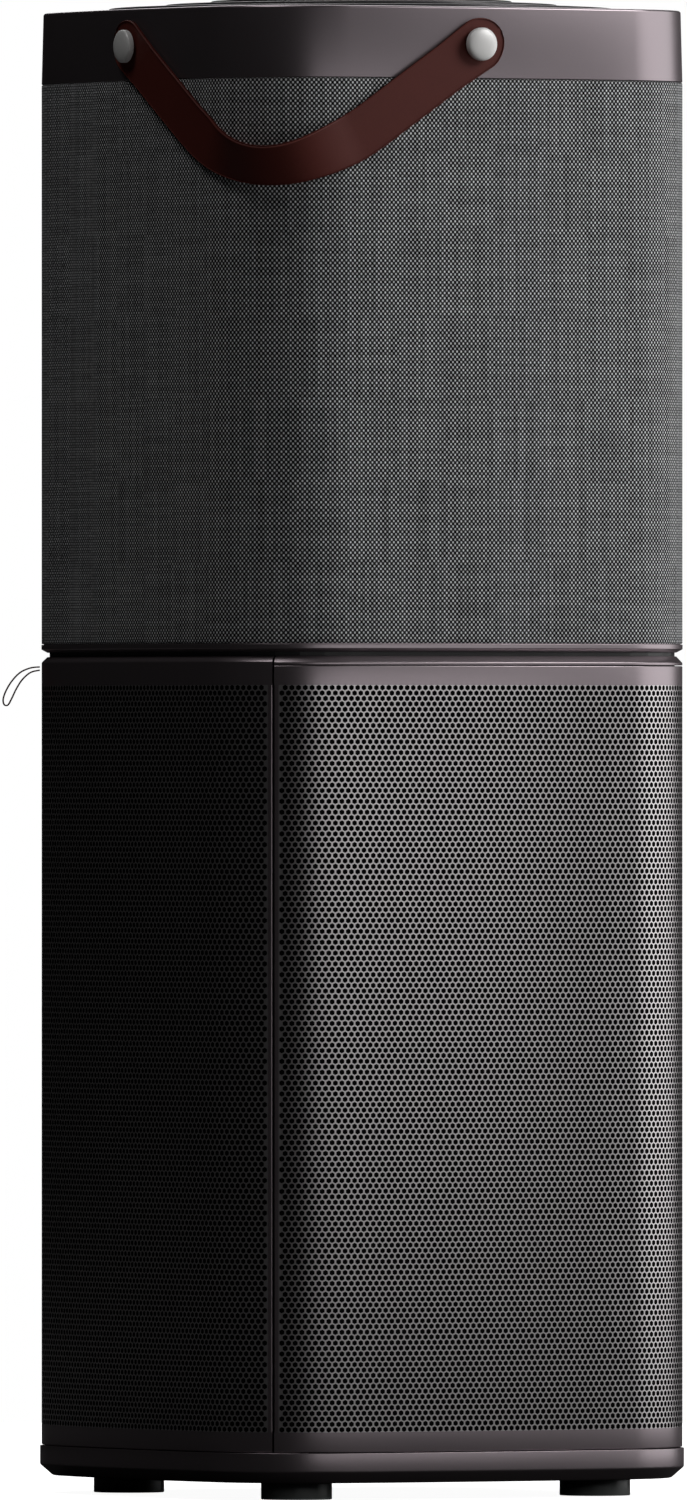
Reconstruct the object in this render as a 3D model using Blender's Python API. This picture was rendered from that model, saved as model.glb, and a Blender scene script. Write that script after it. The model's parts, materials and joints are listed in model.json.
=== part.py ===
"""Tower air purifier: rounded-square column with a filter bay below and a fan chamber above.

Axes: +Z up, origin on the floor at the middle of the plan. The carrying strap wraps the front
corner (-X, -Y), the filter door wraps the left corner (-X, +Y), and the fixed shell wraps the
right corner (+X, -Y). Lengths are metres.
"""

import math

import bmesh
import bpy
from mathutils import Matrix, Vector

MM = 0.001
GAP = 0.3 * MM  # clearance between pieces that touch

# Plan of the column: corner arcs joined by shallow side arcs
CORNER_CENTRE = 71.6 * MM
CORNER_RADIUS = 59.5 * MM
SIDE_HALF_ANGLE = 7.5
SIDE_STEPS = 2
CORNER_STEPS = 6

# Heights above the floor
BASE_BOTTOM = 8.5 * MM
CHAMFER_TOP = 14.0 * MM
BASE_TOP = 23.2 * MM
TRAY_FLOOR = 12.0 * MM
SHELL_BOTTOM = BASE_TOP + 0.5 * MM
SHELL_TOP = 405.6 * MM
LOWER_TOP = 410.4 * MM
DECK_BOTTOM = 402.0 * MM
DECK_TOP = 418.0 * MM
UPPER_BOTTOM = 413.9 * MM
FABRIC_BOTTOM = 416.2 * MM
FABRIC_TOP = 691.0 * MM
LID_TOP = 726.2 * MM

# Wall build-up of the upper section, as offsets from the plan outline
FABRIC_THICK = 1.0 * MM
SLEEVE_OUTER = -1.3 * MM
SLEEVE_INNER = -3.8 * MM
SHELL_THICK = 1.2 * MM
NECK_DEPTH = 3.8 * MM
BASE_FLARE = 0.8 * MM
BASE_CHAMFER = 6.3 * MM
LID_TAPER = 0.9 * MM

# Feet
FOOT_CIRCLE = 118.5 * MM
REAR_FOOT = (20.0 * MM, 100.0 * MM)  # under the back wall, not in the corner
FOOT_RADIUS = 17.3 * MM

# Filter
FILTER_RADIUS = 108.0 * MM
FILTER_CORE = 58.0 * MM
FILTER_BOTTOM = 24.4 * MM
FILTER_TOP = 398.4 * MM
CAP_THICK = 7.0 * MM
PLEAT_COUNT = 36
MEDIA_THICK = 6.0 * MM  # radial, so the paper is far thinner across a fold

# Fan chamber
DUCT_OUTER = 127.5 * MM
DUCT_INNER = 125.0 * MM
IMPELLER_RADIUS = 104.0 * MM
IMPELLER_BOTTOM = 430.0 * MM
IMPELLER_TOP = 519.0 * MM
BLADE_COUNT = 9
VANE_COUNT = 9
SHAFT_RADIUS = 4.0 * MM
MOTOR_RADIUS = 40.0 * MM
MOTOR_BOTTOM = 525.0 * MM
MOTOR_TOP = 565.0 * MM

# Outlet grille: (outer radius, width, top height, edge) of each ring, from the lid inwards
OUTLET_OPENING = 124.6 * MM
OUTLET_RINGS = (
    (124.0 * MM, 7.0 * MM, 727.8 * MM, 1.0 * MM),
    (109.6 * MM, 6.0 * MM, 727.8 * MM, 1.0 * MM),
    (96.3 * MM, 6.0 * MM, 729.8 * MM, 1.0 * MM),
)
RING_DEPTH = 9.0 * MM
BEZEL_RADIUS = 74.0 * MM
BEZEL_TOP = 731.7 * MM
GLASS_RADIUS = 62.2 * MM
RIB_COUNT = 8

# Hole in the deck for the wiring
LOOM_HOLE = (109.3 * MM, 68.8 * MM)

# Posts between the base tray and the deck
POST_CENTRE = 142.0 * MM
POST_SIZE = (12.0 * MM, 22.0 * MM)

# Strap: a band that hangs from two studs and wraps the front corner
STUD_OFFSET = 12.2 * MM
STUD_HEIGHT = 707.8 * MM
STUD_RADIUS = 8.1 * MM
STRAP_WIDTH = 24.2 * MM
STRAP_THICK = 2.2 * MM
STRAP_REACH = 89.0 * MM
STRAP_SLOPE = 0.919
STRAP_BEND = 48.0 * MM
STRAP_STANDOFF = 9.5 * MM
STRAP_TILT = 41.0
STRAP_END_RADIUS = 13.0 * MM
LOOP_REACH = 54.0 * MM
END_START = 59.0 * MM

# Door pull tab: a thin loop that hangs from the left corner
TAB_ANGLE = 150.5
TAB_ROOT = 404.9 * MM
TAB_WIDTH = 11.0 * MM
TAB_THICK = 0.7 * MM

FRONT_CORNER = 225.0
LEFT_CORNER = 135.0
RIGHT_CORNER = 315.0
REAR_CORNER = 45.0
SEAM_ANGLE = 0.5  # degrees of corner arc left open on each side of a seam


# ---------------------------------------------------------------- scene and materials
def clear_scene():
    for old in list(bpy.data.objects):
        bpy.data.objects.remove(old)


def material(name, colour, roughness, metallic=0.0):
    made = bpy.data.materials.get(name) or bpy.data.materials.new(name)
    made.use_nodes = True
    shader = made.node_tree.nodes["Principled BSDF"]
    shader.inputs["Base Color"].default_value = (*colour, 1.0)
    shader.inputs["Roughness"].default_value = roughness
    shader.inputs["Metallic"].default_value = metallic
    return made


def finishes():
    return {
        "body_paint": material("body_paint", (0.19, 0.165, 0.178), 0.42, 0.35),
        "painted_plastic": material("painted_plastic", (0.19, 0.165, 0.178), 0.42, 0.35),
        "fabric": material("fabric", (0.16, 0.16, 0.165), 0.95),
        "leather": material("leather", (0.085, 0.028, 0.022), 0.5),
        "satin_metal": material("satin_metal", (0.62, 0.61, 0.6), 0.3, 1.0),
        "black_plastic": material("black_plastic", (0.018, 0.018, 0.019), 0.45),
        "grey_plastic": material("grey_plastic", (0.2, 0.2, 0.21), 0.6),
        "light_plastic": material("light_plastic", (0.62, 0.62, 0.62), 0.6),
        "filter_media": material("filter_media", (0.72, 0.73, 0.7), 0.9),
        "carbon": material("carbon", (0.03, 0.03, 0.032), 0.9),
        "rubber": material("rubber", (0.025, 0.025, 0.026), 0.85),
        "glass": material("glass", (0.01, 0.01, 0.012), 0.08),
        "diffuser": material("diffuser", (0.8, 0.86, 0.88), 0.4),
        "board": material("board", (0.02, 0.13, 0.06), 0.55),
        "steel": material("steel", (0.45, 0.45, 0.46), 0.35, 1.0),
    }


# ---------------------------------------------------------------- solids
def add_object(name, mesh, finish):
    node = bpy.data.objects.new(name, mesh)
    node.data.materials.append(finish)
    bpy.context.scene.collection.objects.link(node)
    return node


def skin(name, sections, finish, wrap=False):
    """A closed solid through a row of matching closed sections."""
    mesh = bmesh.new()
    rows = [[mesh.verts.new(point) for point in section] for section in sections]
    size = len(rows[0])
    pairs = list(zip(rows, rows[1:] + rows[:1])) if wrap else list(zip(rows, rows[1:]))
    for first, second in pairs:
        for i in range(size):
            j = (i + 1) % size
            mesh.faces.new((first[i], first[j], second[j], second[i]))
    if not wrap:
        mesh.faces.new(rows[0][::-1])
        mesh.faces.new(rows[-1])
    bmesh.ops.recalc_face_normals(mesh, faces=mesh.faces)
    return finished(name, mesh, finish)


def finished(name, mesh, finish):
    data = bpy.data.meshes.new(name)
    mesh.to_mesh(data)
    mesh.free()
    data.shade_smooth()
    data.set_sharp_from_angle(angle=math.radians(35))
    return add_object(name, data, finish)


def circle(radius, height, steps, centre=(0, 0)):
    turn = 2 * math.pi / steps
    return [
        (centre[0] + radius * math.cos(i * turn), centre[1] + radius * math.sin(i * turn), height)
        for i in range(steps)
    ]


def turned(name, profile, finish, steps=32):
    """A ring turned about Z from a closed (radius, height) profile."""
    sections = []
    for i in range(steps):
        angle = 2 * math.pi * i / steps
        sections.append([(r * math.cos(angle), r * math.sin(angle), z) for r, z in profile])
    return skin(name, sections, finish, wrap=True)


def ring(name, inner, outer, bottom, top, finish, steps=32):
    return turned(name, [(inner, bottom), (outer, bottom), (outer, top), (inner, top)], finish, steps)


def disc(name, levels, finish, steps=32):
    """A solid of revolution that is closed at the axis, from (radius, height) levels."""
    return skin(name, [circle(r, z, steps) for r, z in levels], finish)


def block(name, size, centre, finish, turn=0.0):
    """A box with its middle at centre, turned about Z in degrees."""
    half = [s / 2 for s in size]
    flat = ((-half[0], -half[1]), (half[0], -half[1]), (half[0], half[1]), (-half[0], half[1]))
    sections = [[(x, y, z) for x, y in flat] for z in (-half[2], half[2])]
    node = skin(name, sections, finish)
    node.location = centre
    node.rotation_euler.z = math.radians(turn)
    return node


def boolean(target, tool, operation):
    step = target.modifiers.new(operation.lower() + "_" + tool.name, "BOOLEAN")
    step.operation = operation
    step.solver = "EXACT"
    step.object = tool
    tool.hide_render = True
    tool.display_type = "WIRE"


def cut(target, *tools):
    for tool in tools:
        boolean(target, tool, "DIFFERENCE")


def join(target, *tools):
    for tool in tools:
        boolean(target, tool, "UNION")


def around(angle, radius, height=0.0):
    """The point at that plan angle in degrees, radius and height."""
    turn = math.radians(angle)
    return Vector((radius * math.cos(turn), radius * math.sin(turn), height))


# ---------------------------------------------------------------- plan of the column
def plan_point(angle, offset=0.0):
    """The outline's point whose outward normal is at that angle in degrees, moved out by offset."""
    side_radius = CORNER_CENTRE / math.sin(math.radians(SIDE_HALF_ANGLE)) + CORNER_RADIUS
    start = math.radians(SIDE_HALF_ANGLE)
    side_centre = CORNER_CENTRE + (CORNER_RADIUS - side_radius) * math.cos(start)
    quarter = round(angle / 90.0)
    local = math.radians(angle - 90.0 * quarter)
    if abs(local) <= start + 1e-9:
        reach = side_radius + offset
        x, y = side_centre + reach * math.cos(local), reach * math.sin(local)
    else:
        reach = CORNER_RADIUS + offset
        x = CORNER_CENTRE + reach * math.cos(local)
        y = math.copysign(CORNER_CENTRE, local) + reach * math.sin(local)
    turn = math.radians(90.0 * quarter)
    return (x * math.cos(turn) - y * math.sin(turn), x * math.sin(turn) + y * math.cos(turn))


def plan_angles(start, end, side_steps=SIDE_STEPS):
    """Normal angles of the outline's points from start to end in degrees."""
    corner = (90.0 - 2 * SIDE_HALF_ANGLE) / CORNER_STEPS
    quarter = [SIDE_HALF_ANGLE * i / side_steps for i in range(side_steps)]
    quarter += [SIDE_HALF_ANGLE + corner * i for i in range(CORNER_STEPS)]
    quarter += [90.0 - SIDE_HALF_ANGLE * (1 - i / side_steps) for i in range(side_steps)]
    every = [90.0 * k + a for k in range(-1, 6) for a in quarter]
    inside = [a for a in every if start + 0.01 < a < end - 0.01]
    return [start, *inside, end]


def column(name, profile, finish, start=None, end=None, side_steps=SIDE_STEPS):
    """A shell that follows the plan, from a closed profile of (offset, height) points.

    A point with a third value of True lies on a circle of that radius about the axis.
    """
    whole = start is None
    angles = plan_angles(0.0, 360.0, side_steps)[:-1] if whole else plan_angles(start, end)
    sections = []
    for angle in angles:
        section = []
        for offset, height, *round_part in profile:
            x, y = plan_point(angle, 0.0 if round_part else offset)
            if round_part:
                x, y = Vector((x, y)).normalized() * offset
            section.append((x, y, height))
        sections.append(section)
    return skin(name, sections, finish, wrap=whole)


# ---------------------------------------------------------------- lower section
def base(paint, rubber):
    flare, inner = BASE_FLARE, BASE_FLARE - 2.4 * MM
    angles = plan_angles(0.0, 360.0)[:-1]
    levels = (
        (flare - BASE_CHAMFER, BASE_BOTTOM),
        (flare, CHAMFER_TOP),
        (flare, BASE_TOP),
        (inner, BASE_TOP),
        (inner, CHAMFER_TOP),
        (flare - BASE_CHAMFER - 1.5 * MM, TRAY_FLOOR),
    )
    rings = [[(*plan_point(a, offset), z) for a in angles] for offset, z in levels]
    tray = skin("base_tray", rings, paint)
    join(tray, ring("filter_seat", 84 * MM, 100 * MM, TRAY_FLOOR - 1 * MM, FILTER_BOTTOM - 0.4 * MM, paint, 32))
    profile = [
        (FOOT_RADIUS - 1.4 * MM, 0.0), (FOOT_RADIUS, 1.4 * MM), (FOOT_RADIUS, BASE_BOTTOM - GAP),
        (2.4 * MM, BASE_BOTTOM - GAP), (2.4 * MM, TRAY_FLOOR + 2 * MM),
    ]
    spots = {"front": around(FRONT_CORNER, FOOT_CIRCLE), "left": around(LEFT_CORNER, FOOT_CIRCLE),
             "rear": Vector((*REAR_FOOT, 0.0)), "right": around(RIGHT_CORNER, FOOT_CIRCLE)}
    for side, spot in spots.items():
        foot = disc("foot_" + side, profile, rubber, 20)
        foot.location = spot
        drill = disc("drill_" + side, [(2.8 * MM, 5.0 * MM), (2.8 * MM, 20.0 * MM)], rubber, 12)
        drill.location = foot.location
        cut(tray, drill)
    return tray


def power_inlet(tray, black):
    """A two-pin appliance inlet in the base's right-hand side, near the rear corner."""
    side = plan_point(0.0, BASE_FLARE)[0]
    middle = Vector((side - 8.0 * MM, 52.0 * MM, 18.0 * MM))
    size = (15.0 * MM, 21.0 * MM, 9.4 * MM)
    cut(tray, block("inlet_notch", [s + 2 * GAP for s in (24.0 * MM, *size[1:])], middle, black))
    body = block("power_inlet", size, middle, black)
    mouth = middle + Vector((2.5 * MM, 0, 0))
    cut(body, block("inlet_mouth", (12.0 * MM, 16.0 * MM, 6.6 * MM), mouth, black))
    for i, step in enumerate((-4.0 * MM, 4.0 * MM)):
        pin = middle + Vector((-1.0 * MM, step, 0))
        join(body, block(f"inlet_pin_{i}", (9 * MM, 2.2 * MM, 2.2 * MM), pin, black))


def posts(grey, steel):
    """Three uprights that carry the deck, and the door magnets that hold on to two of them."""
    height = DECK_BOTTOM - GAP - (TRAY_FLOOR + GAP)
    middle = TRAY_FLOOR + GAP + height / 2
    for side, angle in (("front", FRONT_CORNER), ("right", RIGHT_CORNER), ("rear", REAR_CORNER)):
        block("post_" + side, (*POST_SIZE, height), around(angle, POST_CENTRE, middle), grey, angle)
    reach = POST_SIZE[1] / 2 + GAP + 2.5 * MM
    for side, angle in (("front", FRONT_CORNER), ("rear", REAR_CORNER)):
        centre = around(angle, POST_CENTRE, 366 * MM) + around(LEFT_CORNER, reach)
        block("door_magnet_" + side, (10 * MM, 5 * MM, 40 * MM), centre, steel, angle)


def shells(paint, trim, black):
    """The fixed shell with its rim, and the door, each wrapping two faces of the lower section."""
    chamfer = 3.0 * MM
    ends = (FRONT_CORNER + SEAM_ANGLE, REAR_CORNER + 360.0 - SEAM_ANGLE)
    column(
        "front_shell",
        [(0, SHELL_BOTTOM), (0, SHELL_TOP), (-SHELL_THICK, SHELL_TOP), (-SHELL_THICK, SHELL_BOTTOM)],
        paint,
        *ends,
    )
    low = SHELL_TOP + 0.4 * MM
    column(
        "front_rim",
        [(0, low), (0, low + 1.0 * MM), (-chamfer, LOWER_TOP), (-chamfer - 0.5 * MM, LOWER_TOP),
         (-chamfer - 0.5 * MM, low)],
        trim,
        *ends,
    )
    column(
        "door_shell",
        [(0, SHELL_BOTTOM), (0, low + 1.0 * MM), (-chamfer, LOWER_TOP),
         (-chamfer - 0.4 * MM, LOWER_TOP), (-SHELL_THICK, low), (-SHELL_THICK, SHELL_BOTTOM)],
        paint,
        REAR_CORNER + SEAM_ANGLE,
        FRONT_CORNER - SEAM_ANGLE,
    )
    anchor_middle = Vector((*plan_point(TAB_ANGLE, -SHELL_THICK - GAP - 2.1 * MM), DECK_BOTTOM - 5.0 * MM))
    block("tab_anchor", (2 * MM, 12 * MM, 8 * MM), anchor_middle, black, TAB_ANGLE)


def pull_tab(leather):
    """The door's pull tab: a thin strip bent into a drooping loop."""
    outward = around(TAB_ANGLE, 1.0)
    across = around(TAB_ANGLE + 90.0, 1.0)
    route = [
        (1.2, 0.5), (5.5, 0.0), (10.5, -2.2), (14.6, -6.4), (17.6, -11.4), (18.9, -15.4), (18.4, -18.0),
        (16.6, -18.2), (14.8, -15.2), (12.4, -10.2), (9.4, -5.6), (5.4, -2.2), (1.2, -1.1),
    ]
    sections = []
    for i, (out, rise) in enumerate(route):
        before = Vector(route[max(i - 1, 0)])
        after = Vector(route[min(i + 1, len(route) - 1)])
        along = (after - before).normalized()
        normal = outward * -along.y + Vector((0, 0, along.x))
        middle = Vector((*plan_point(TAB_ANGLE, out * MM), TAB_ROOT + rise * MM))
        half_w, half_t = TAB_WIDTH / 2, TAB_THICK / 2
        sections.append(
            [middle + across * w * half_w + normal * t * half_t for w, t in ((-1, -1), (1, -1), (1, 1), (-1, 1))]
        )
    return skin("pull_tab", sections, leather)


def filter_cartridge(media, carbon, plastic, rubber, fabric):
    """The round cartridge: end caps, pleated media, carbon core, outer pre-filter, seal and pull."""
    low, high = FILTER_BOTTOM + CAP_THICK, FILTER_TOP - CAP_THICK
    disc(
        "filter_bottom_cap",
        [(FILTER_RADIUS - 1 * MM, FILTER_BOTTOM), (FILTER_RADIUS, FILTER_BOTTOM + 1 * MM), (FILTER_RADIUS, low)],
        plastic,
    )
    ring("filter_top_cap", FILTER_CORE, FILTER_RADIUS, high, FILTER_TOP, plastic)
    ring("prefilter_mesh", FILTER_RADIUS - 2 * MM, FILTER_RADIUS - 1 * MM, low + GAP, high - GAP, fabric)
    fold = []
    for wall in (MEDIA_THICK / 2, -MEDIA_THICK / 2):
        loop = []
        for i in range(2 * PLEAT_COUNT):
            reach = (FILTER_RADIUS - 6 * MM if i % 2 else FILTER_CORE + 10 * MM) + wall
            loop.append(around(180.0 * i / PLEAT_COUNT, reach))
        fold.append(loop)
    outer, inner = fold
    skin(
        "filter_pleats",
        [[(*p.xy, low + GAP) for p in outer], [(*p.xy, high - GAP) for p in outer],
         [(*p.xy, high - GAP) for p in inner], [(*p.xy, low + GAP) for p in inner]],
        media,
        wrap=True,
    )
    ring("carbon_layer", FILTER_CORE, FILTER_CORE + 5.6 * MM, low + GAP, high - GAP, carbon)
    ring("filter_seal", 93 * MM, 104 * MM, FILTER_TOP + GAP, DECK_BOTTOM - 0.4 * MM, rubber)
    reach = FILTER_RADIUS + GAP
    outward = around(LEFT_CORNER, 1.0)
    block("filter_pull", (1.6 * MM, 18 * MM, 60 * MM), outward * (reach + 0.8 * MM) + Vector((0, 0, 330 * MM)),
          fabric, LEFT_CORNER)


# ---------------------------------------------------------------- deck and fan chamber
def deck(black, steel):
    wall = NECK_DEPTH + 3.2 * MM
    plate = column(
        "mid_deck",
        [(-NECK_DEPTH, DECK_BOTTOM), (-NECK_DEPTH, DECK_TOP), (-wall, DECK_TOP), (-wall, DECK_BOTTOM + 4 * MM),
         (88 * MM, DECK_BOTTOM + 4 * MM, True), (88 * MM, DECK_BOTTOM, True)],
        black,
    )
    grommet = disc("loom_hole", [(5 * MM, DECK_BOTTOM - 4 * MM), (5 * MM, DECK_BOTTOM + 9 * MM)], black, 16)
    grommet.location.xy = LOOM_HOLE
    cut(plate, grommet)
    low = DECK_BOTTOM + GAP
    guard = ring("inlet_guard", 82 * MM, 86 * MM, low, low + 2.6 * MM, steel, 24)
    join(guard, disc("guard_hub", [(12 * MM, low + 0.2 * MM), (12 * MM, low + 2.4 * MM)], steel, 16))
    for i in range(3):
        bar = (166 * MM, 3 * MM, 1.8 * MM)
        join(guard, block(f"guard_bar_{i}", bar, (0, 0, low + 1.3 * MM), steel, 60.0 * i + 15))
    base_level = DECK_BOTTOM + 4 * MM + GAP
    turned(
        "inlet_cone",
        [(88.5 * MM, base_level), (96 * MM, base_level), (96 * MM, base_level + 2 * MM),
         (88 * MM, base_level + 3 * MM), (81.5 * MM, base_level + 9 * MM), (79.5 * MM, 426 * MM),
         (77.5 * MM, 426 * MM), (80 * MM, base_level + 7.5 * MM)],
        black,
        24,
    )


def impeller(plastic):
    """Backward-curved wheel: back plate with hub, shroud ring and blades in one moulding."""
    plate_low = IMPELLER_TOP - 3 * MM
    wheel = turned(
        "impeller",
        [(SHAFT_RADIUS + GAP, 500 * MM), (14 * MM, 500 * MM), (18 * MM, plate_low), (IMPELLER_RADIUS, plate_low),
         (IMPELLER_RADIUS, IMPELLER_TOP), (SHAFT_RADIUS + GAP, IMPELLER_TOP)],
        plastic,
    )
    shroud = turned(
        "shroud",
        [(81 * MM, IMPELLER_BOTTOM), (IMPELLER_RADIUS, IMPELLER_BOTTOM + 12 * MM),
         (IMPELLER_RADIUS, IMPELLER_BOTTOM + 14.5 * MM), (81 * MM, IMPELLER_BOTTOM + 2.5 * MM)],
        plastic,
    )
    join(wheel, shroud)
    steps = 5
    for k in range(BLADE_COUNT):
        sections = []
        for i in range(steps + 1):
            share = i / steps
            radius = 60 * MM + 42 * MM * share
            middle = around(360.0 * k / BLADE_COUNT - 38.0 * share, radius)
            sweep = around(360.0 * k / BLADE_COUNT - 38.0 * share + 90.0 + 45.0 * (1 - share) - 20.0, 1.0 * MM)
            low = IMPELLER_BOTTOM + 1.25 * MM + 12 * MM * max(radius - 81 * MM, 0.0) / (23 * MM)
            high = plate_low + 1.5 * MM
            sections.append([(*(middle + sweep * side).xy, z) for side, z in ((-1, low), (1, low), (1, high), (-1, high))])
        join(wheel, skin(f"blade_{k}", sections, plastic))
    return wheel


def motor(grey, steel, copper):
    bore = SHAFT_RADIUS + GAP
    disc("motor_shaft", [(SHAFT_RADIUS, 502 * MM), (SHAFT_RADIUS, 561 * MM)], steel, 16)
    turned(
        "motor_can",
        [(11.5 * MM, MOTOR_BOTTOM), (MOTOR_RADIUS, MOTOR_BOTTOM), (MOTOR_RADIUS, MOTOR_TOP),
         (MOTOR_RADIUS - 2 * MM, MOTOR_TOP), (MOTOR_RADIUS - 2 * MM, MOTOR_BOTTOM + 6 * MM),
         (11.5 * MM, MOTOR_BOTTOM + 6 * MM)],
        grey,
    )
    ring("bearing_lower", bore, 11.2 * MM, MOTOR_BOTTOM + 1 * MM, MOTOR_BOTTOM + 6 * MM, steel, 24)
    ring("bearing_upper", bore, 11.2 * MM, 556 * MM, 561 * MM, steel, 24)
    ring("rotor_magnet", bore, 22 * MM, 534 * MM, 554 * MM, grey, 24)
    ring("stator", 22.6 * MM, MOTOR_RADIUS - 2.4 * MM, 534 * MM, 554 * MM, copper, 24)


def fan_chamber(black, grey):
    ring("fan_duct", DUCT_INNER, DUCT_OUTER, DECK_TOP + GAP, FABRIC_TOP - 1 * MM, grey, 40)
    low = MOTOR_TOP + GAP
    mount = ring("motor_mount", 119 * MM, DUCT_INNER - 0.8 * MM, low, low + 5 * MM, black, 40)
    join(mount, disc("mount_plate", [(44 * MM, low), (44 * MM, low + 4 * MM)], black, 24))
    for k in range(4):
        middle = around(90.0 * k + 45, 81 * MM, low + 2.5 * MM)
        join(mount, block(f"mount_arm_{k}", (80 * MM, 9 * MM, 4.4 * MM), middle, black, 90.0 * k + 45))
    vane_low = 600 * MM
    hub = ring("guide_vanes", 38 * MM, 40.5 * MM, vane_low, vane_low + 42 * MM, black, 24)
    for k in range(VANE_COUNT):
        angle = 360.0 * k / VANE_COUNT
        vane = block(f"vane_{k}", (84.6 * MM, 2 * MM, 40 * MM), around(angle, 81.8 * MM, vane_low + 21 * MM), black, angle)
        join(hub, vane)


# ---------------------------------------------------------------- upper section
def upper_shells(paint, fabric, grey):
    column(
        "sleeve",
        [(SLEEVE_OUTER, DECK_TOP + GAP), (SLEEVE_OUTER, FABRIC_TOP), (SLEEVE_INNER, FABRIC_TOP),
         (SLEEVE_INNER, DECK_TOP + GAP)],
        grey,
    )
    column(
        "fabric_cover",
        [(0, FABRIC_BOTTOM + GAP), (0, FABRIC_TOP), (-FABRIC_THICK, FABRIC_TOP),
         (-FABRIC_THICK, FABRIC_BOTTOM + GAP)],
        fabric,
    )
    neck = -NECK_DEPTH + GAP
    column(
        "lower_trim",
        [(0, UPPER_BOTTOM + 0.6 * MM), (0, FABRIC_BOTTOM), (neck, FABRIC_BOTTOM), (neck, UPPER_BOTTOM - 1.6 * MM),
         (neck + 0.6 * MM, UPPER_BOTTOM - 1.6 * MM)],
        paint,
    )
    top = LID_TOP
    column(
        "lid",
        [(0, FABRIC_TOP + GAP), (-LID_TAPER, top - 1.2 * MM), (-LID_TAPER - 1.2 * MM, top),
         (OUTLET_OPENING, top, True), (OUTLET_OPENING, top - 3 * MM, True),
         (-LID_TAPER - 3.4 * MM, top - 3 * MM), (-3.0 * MM, FABRIC_TOP + GAP)],
        paint,
        side_steps=4,
    )


def outlet(black, paint, glass, diffuser, board):
    """Stepped outlet rings on a spider, with the round touch panel in the middle."""
    for i, (outer, width, top, edge) in enumerate(OUTLET_RINGS):
        turned(
            f"outlet_ring_{i + 1}",
            [(outer - width, top - RING_DEPTH), (outer - 1.2 * MM, top - RING_DEPTH), (outer, top - edge),
             (outer - edge, top), (outer - width, top)],
            black,
            36,
        )
    low = min(top for _, _, top, _ in OUTLET_RINGS) - RING_DEPTH - GAP
    spider = ring("outlet_spider", 117 * MM, 123.5 * MM, low - 6 * MM, low, black, 40)
    join(spider, disc("spider_hub", [(71 * MM, low - 2 * MM), (71 * MM, low)], black, 32))
    for k in range(RIB_COUNT):
        angle = 360.0 * k / RIB_COUNT + 22.5
        join(spider, block(f"rib_{k}", (52 * MM, 3 * MM, 5 * MM), around(angle, 94 * MM, low - 3 * MM), black, angle))
    top, foot = BEZEL_TOP, low + GAP
    turned(
        "panel_bezel",
        [(GLASS_RADIUS + 3.9 * MM, foot), (BEZEL_RADIUS - 3.2 * MM, foot),
         (BEZEL_RADIUS, top - 1.2 * MM), (BEZEL_RADIUS - 1.2 * MM, top), (GLASS_RADIUS + 3.9 * MM, top)],
        paint,
        36,
    )
    ring("light_ring", GLASS_RADIUS + GAP, GLASS_RADIUS + 3.5 * MM, top - 7 * MM, top - 0.6 * MM, diffuser, 36)
    disc("touch_glass", [(GLASS_RADIUS, top - 2.8 * MM), (GLASS_RADIUS, top - 0.5 * MM)], glass, 36)
    disc("control_board", [(60 * MM, top - 8.0 * MM), (60 * MM, top - 6.4 * MM)], board, 32)


def electronics(board, black, grey, steel):
    """Power board and its cover in the rear corner, sensor pod in the right corner."""
    centre = around(REAR_CORNER, 140.5 * MM, 560 * MM)
    outward = around(REAR_CORNER, 1.0)
    block("power_board", (1.6 * MM, 44 * MM, 130 * MM), centre - outward * 6 * MM, board, REAR_CORNER)
    block("board_cover", (7.0 * MM, 40 * MM, 126 * MM), centre, black, REAR_CORNER)
    pod = around(RIGHT_CORNER, 141 * MM, 500 * MM)
    block("air_sensor", (12 * MM, 36 * MM, 46 * MM), pod, grey, RIGHT_CORNER)


def wiring(black):
    """The internal lead from the inlet up the right-hand side to the power board."""
    curve = bpy.data.curves.new("wiring_loom", "CURVE")
    curve.dimensions = "3D"
    curve.bevel_depth = 2.2 * MM
    curve.bevel_resolution = 1
    curve.use_fill_caps = True
    side = plan_point(0.0, BASE_FLARE)[0]
    stops = [
        Vector((side - 16.2 * MM, 52 * MM, 18 * MM)), Vector((113 * MM, 52 * MM, 19 * MM)),
        Vector((110.5 * MM, 60 * MM, 40 * MM)), Vector((108 * MM, 66 * MM, 90 * MM)),
        Vector((108 * MM, 66 * MM, 200 * MM)), Vector((108 * MM, 66 * MM, 330 * MM)),
        Vector((108 * MM, 66 * MM, 392 * MM)), Vector((112 * MM, 78 * MM, 430 * MM)),
        Vector((112 * MM, 83 * MM, 470 * MM)), Vector((107.5 * MM, 88.5 * MM, 492 * MM)),
    ]
    steps = 3
    points = []
    for i in range(len(stops) - 1):
        before, start = stops[max(i - 1, 0)], stops[i]
        end, after = stops[i + 1], stops[min(i + 2, len(stops) - 1)]
        for k in range(steps):
            t = k / steps
            points.append(
                0.5 * ((2 * start) + (end - before) * t + (2 * before - 5 * start + 4 * end - after) * t ** 2
                       + (3 * start - before - 3 * end + after) * t ** 3)
            )
    points.append(stops[-1])
    spline = curve.splines.new("POLY")
    spline.points.add(len(points) - 1)
    for target, point in zip(spline.points, points):
        target.co = (*point, 1.0)
    loom = bpy.data.objects.new("wiring_loom", curve)
    curve.materials.append(black)
    bpy.context.scene.collection.objects.link(loom)


# ---------------------------------------------------------------- carrying strap
def strap_height(reach):
    """Height of the strap's middle line at that distance along the line between the studs."""
    reach = abs(reach)
    valley = STUD_HEIGHT - STRAP_SLOPE * STRAP_REACH
    if reach > STRAP_BEND:
        return valley + STRAP_SLOPE * reach
    return valley + STRAP_SLOPE * (STRAP_BEND ** 2 + reach ** 2) / (2 * STRAP_BEND)


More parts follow.
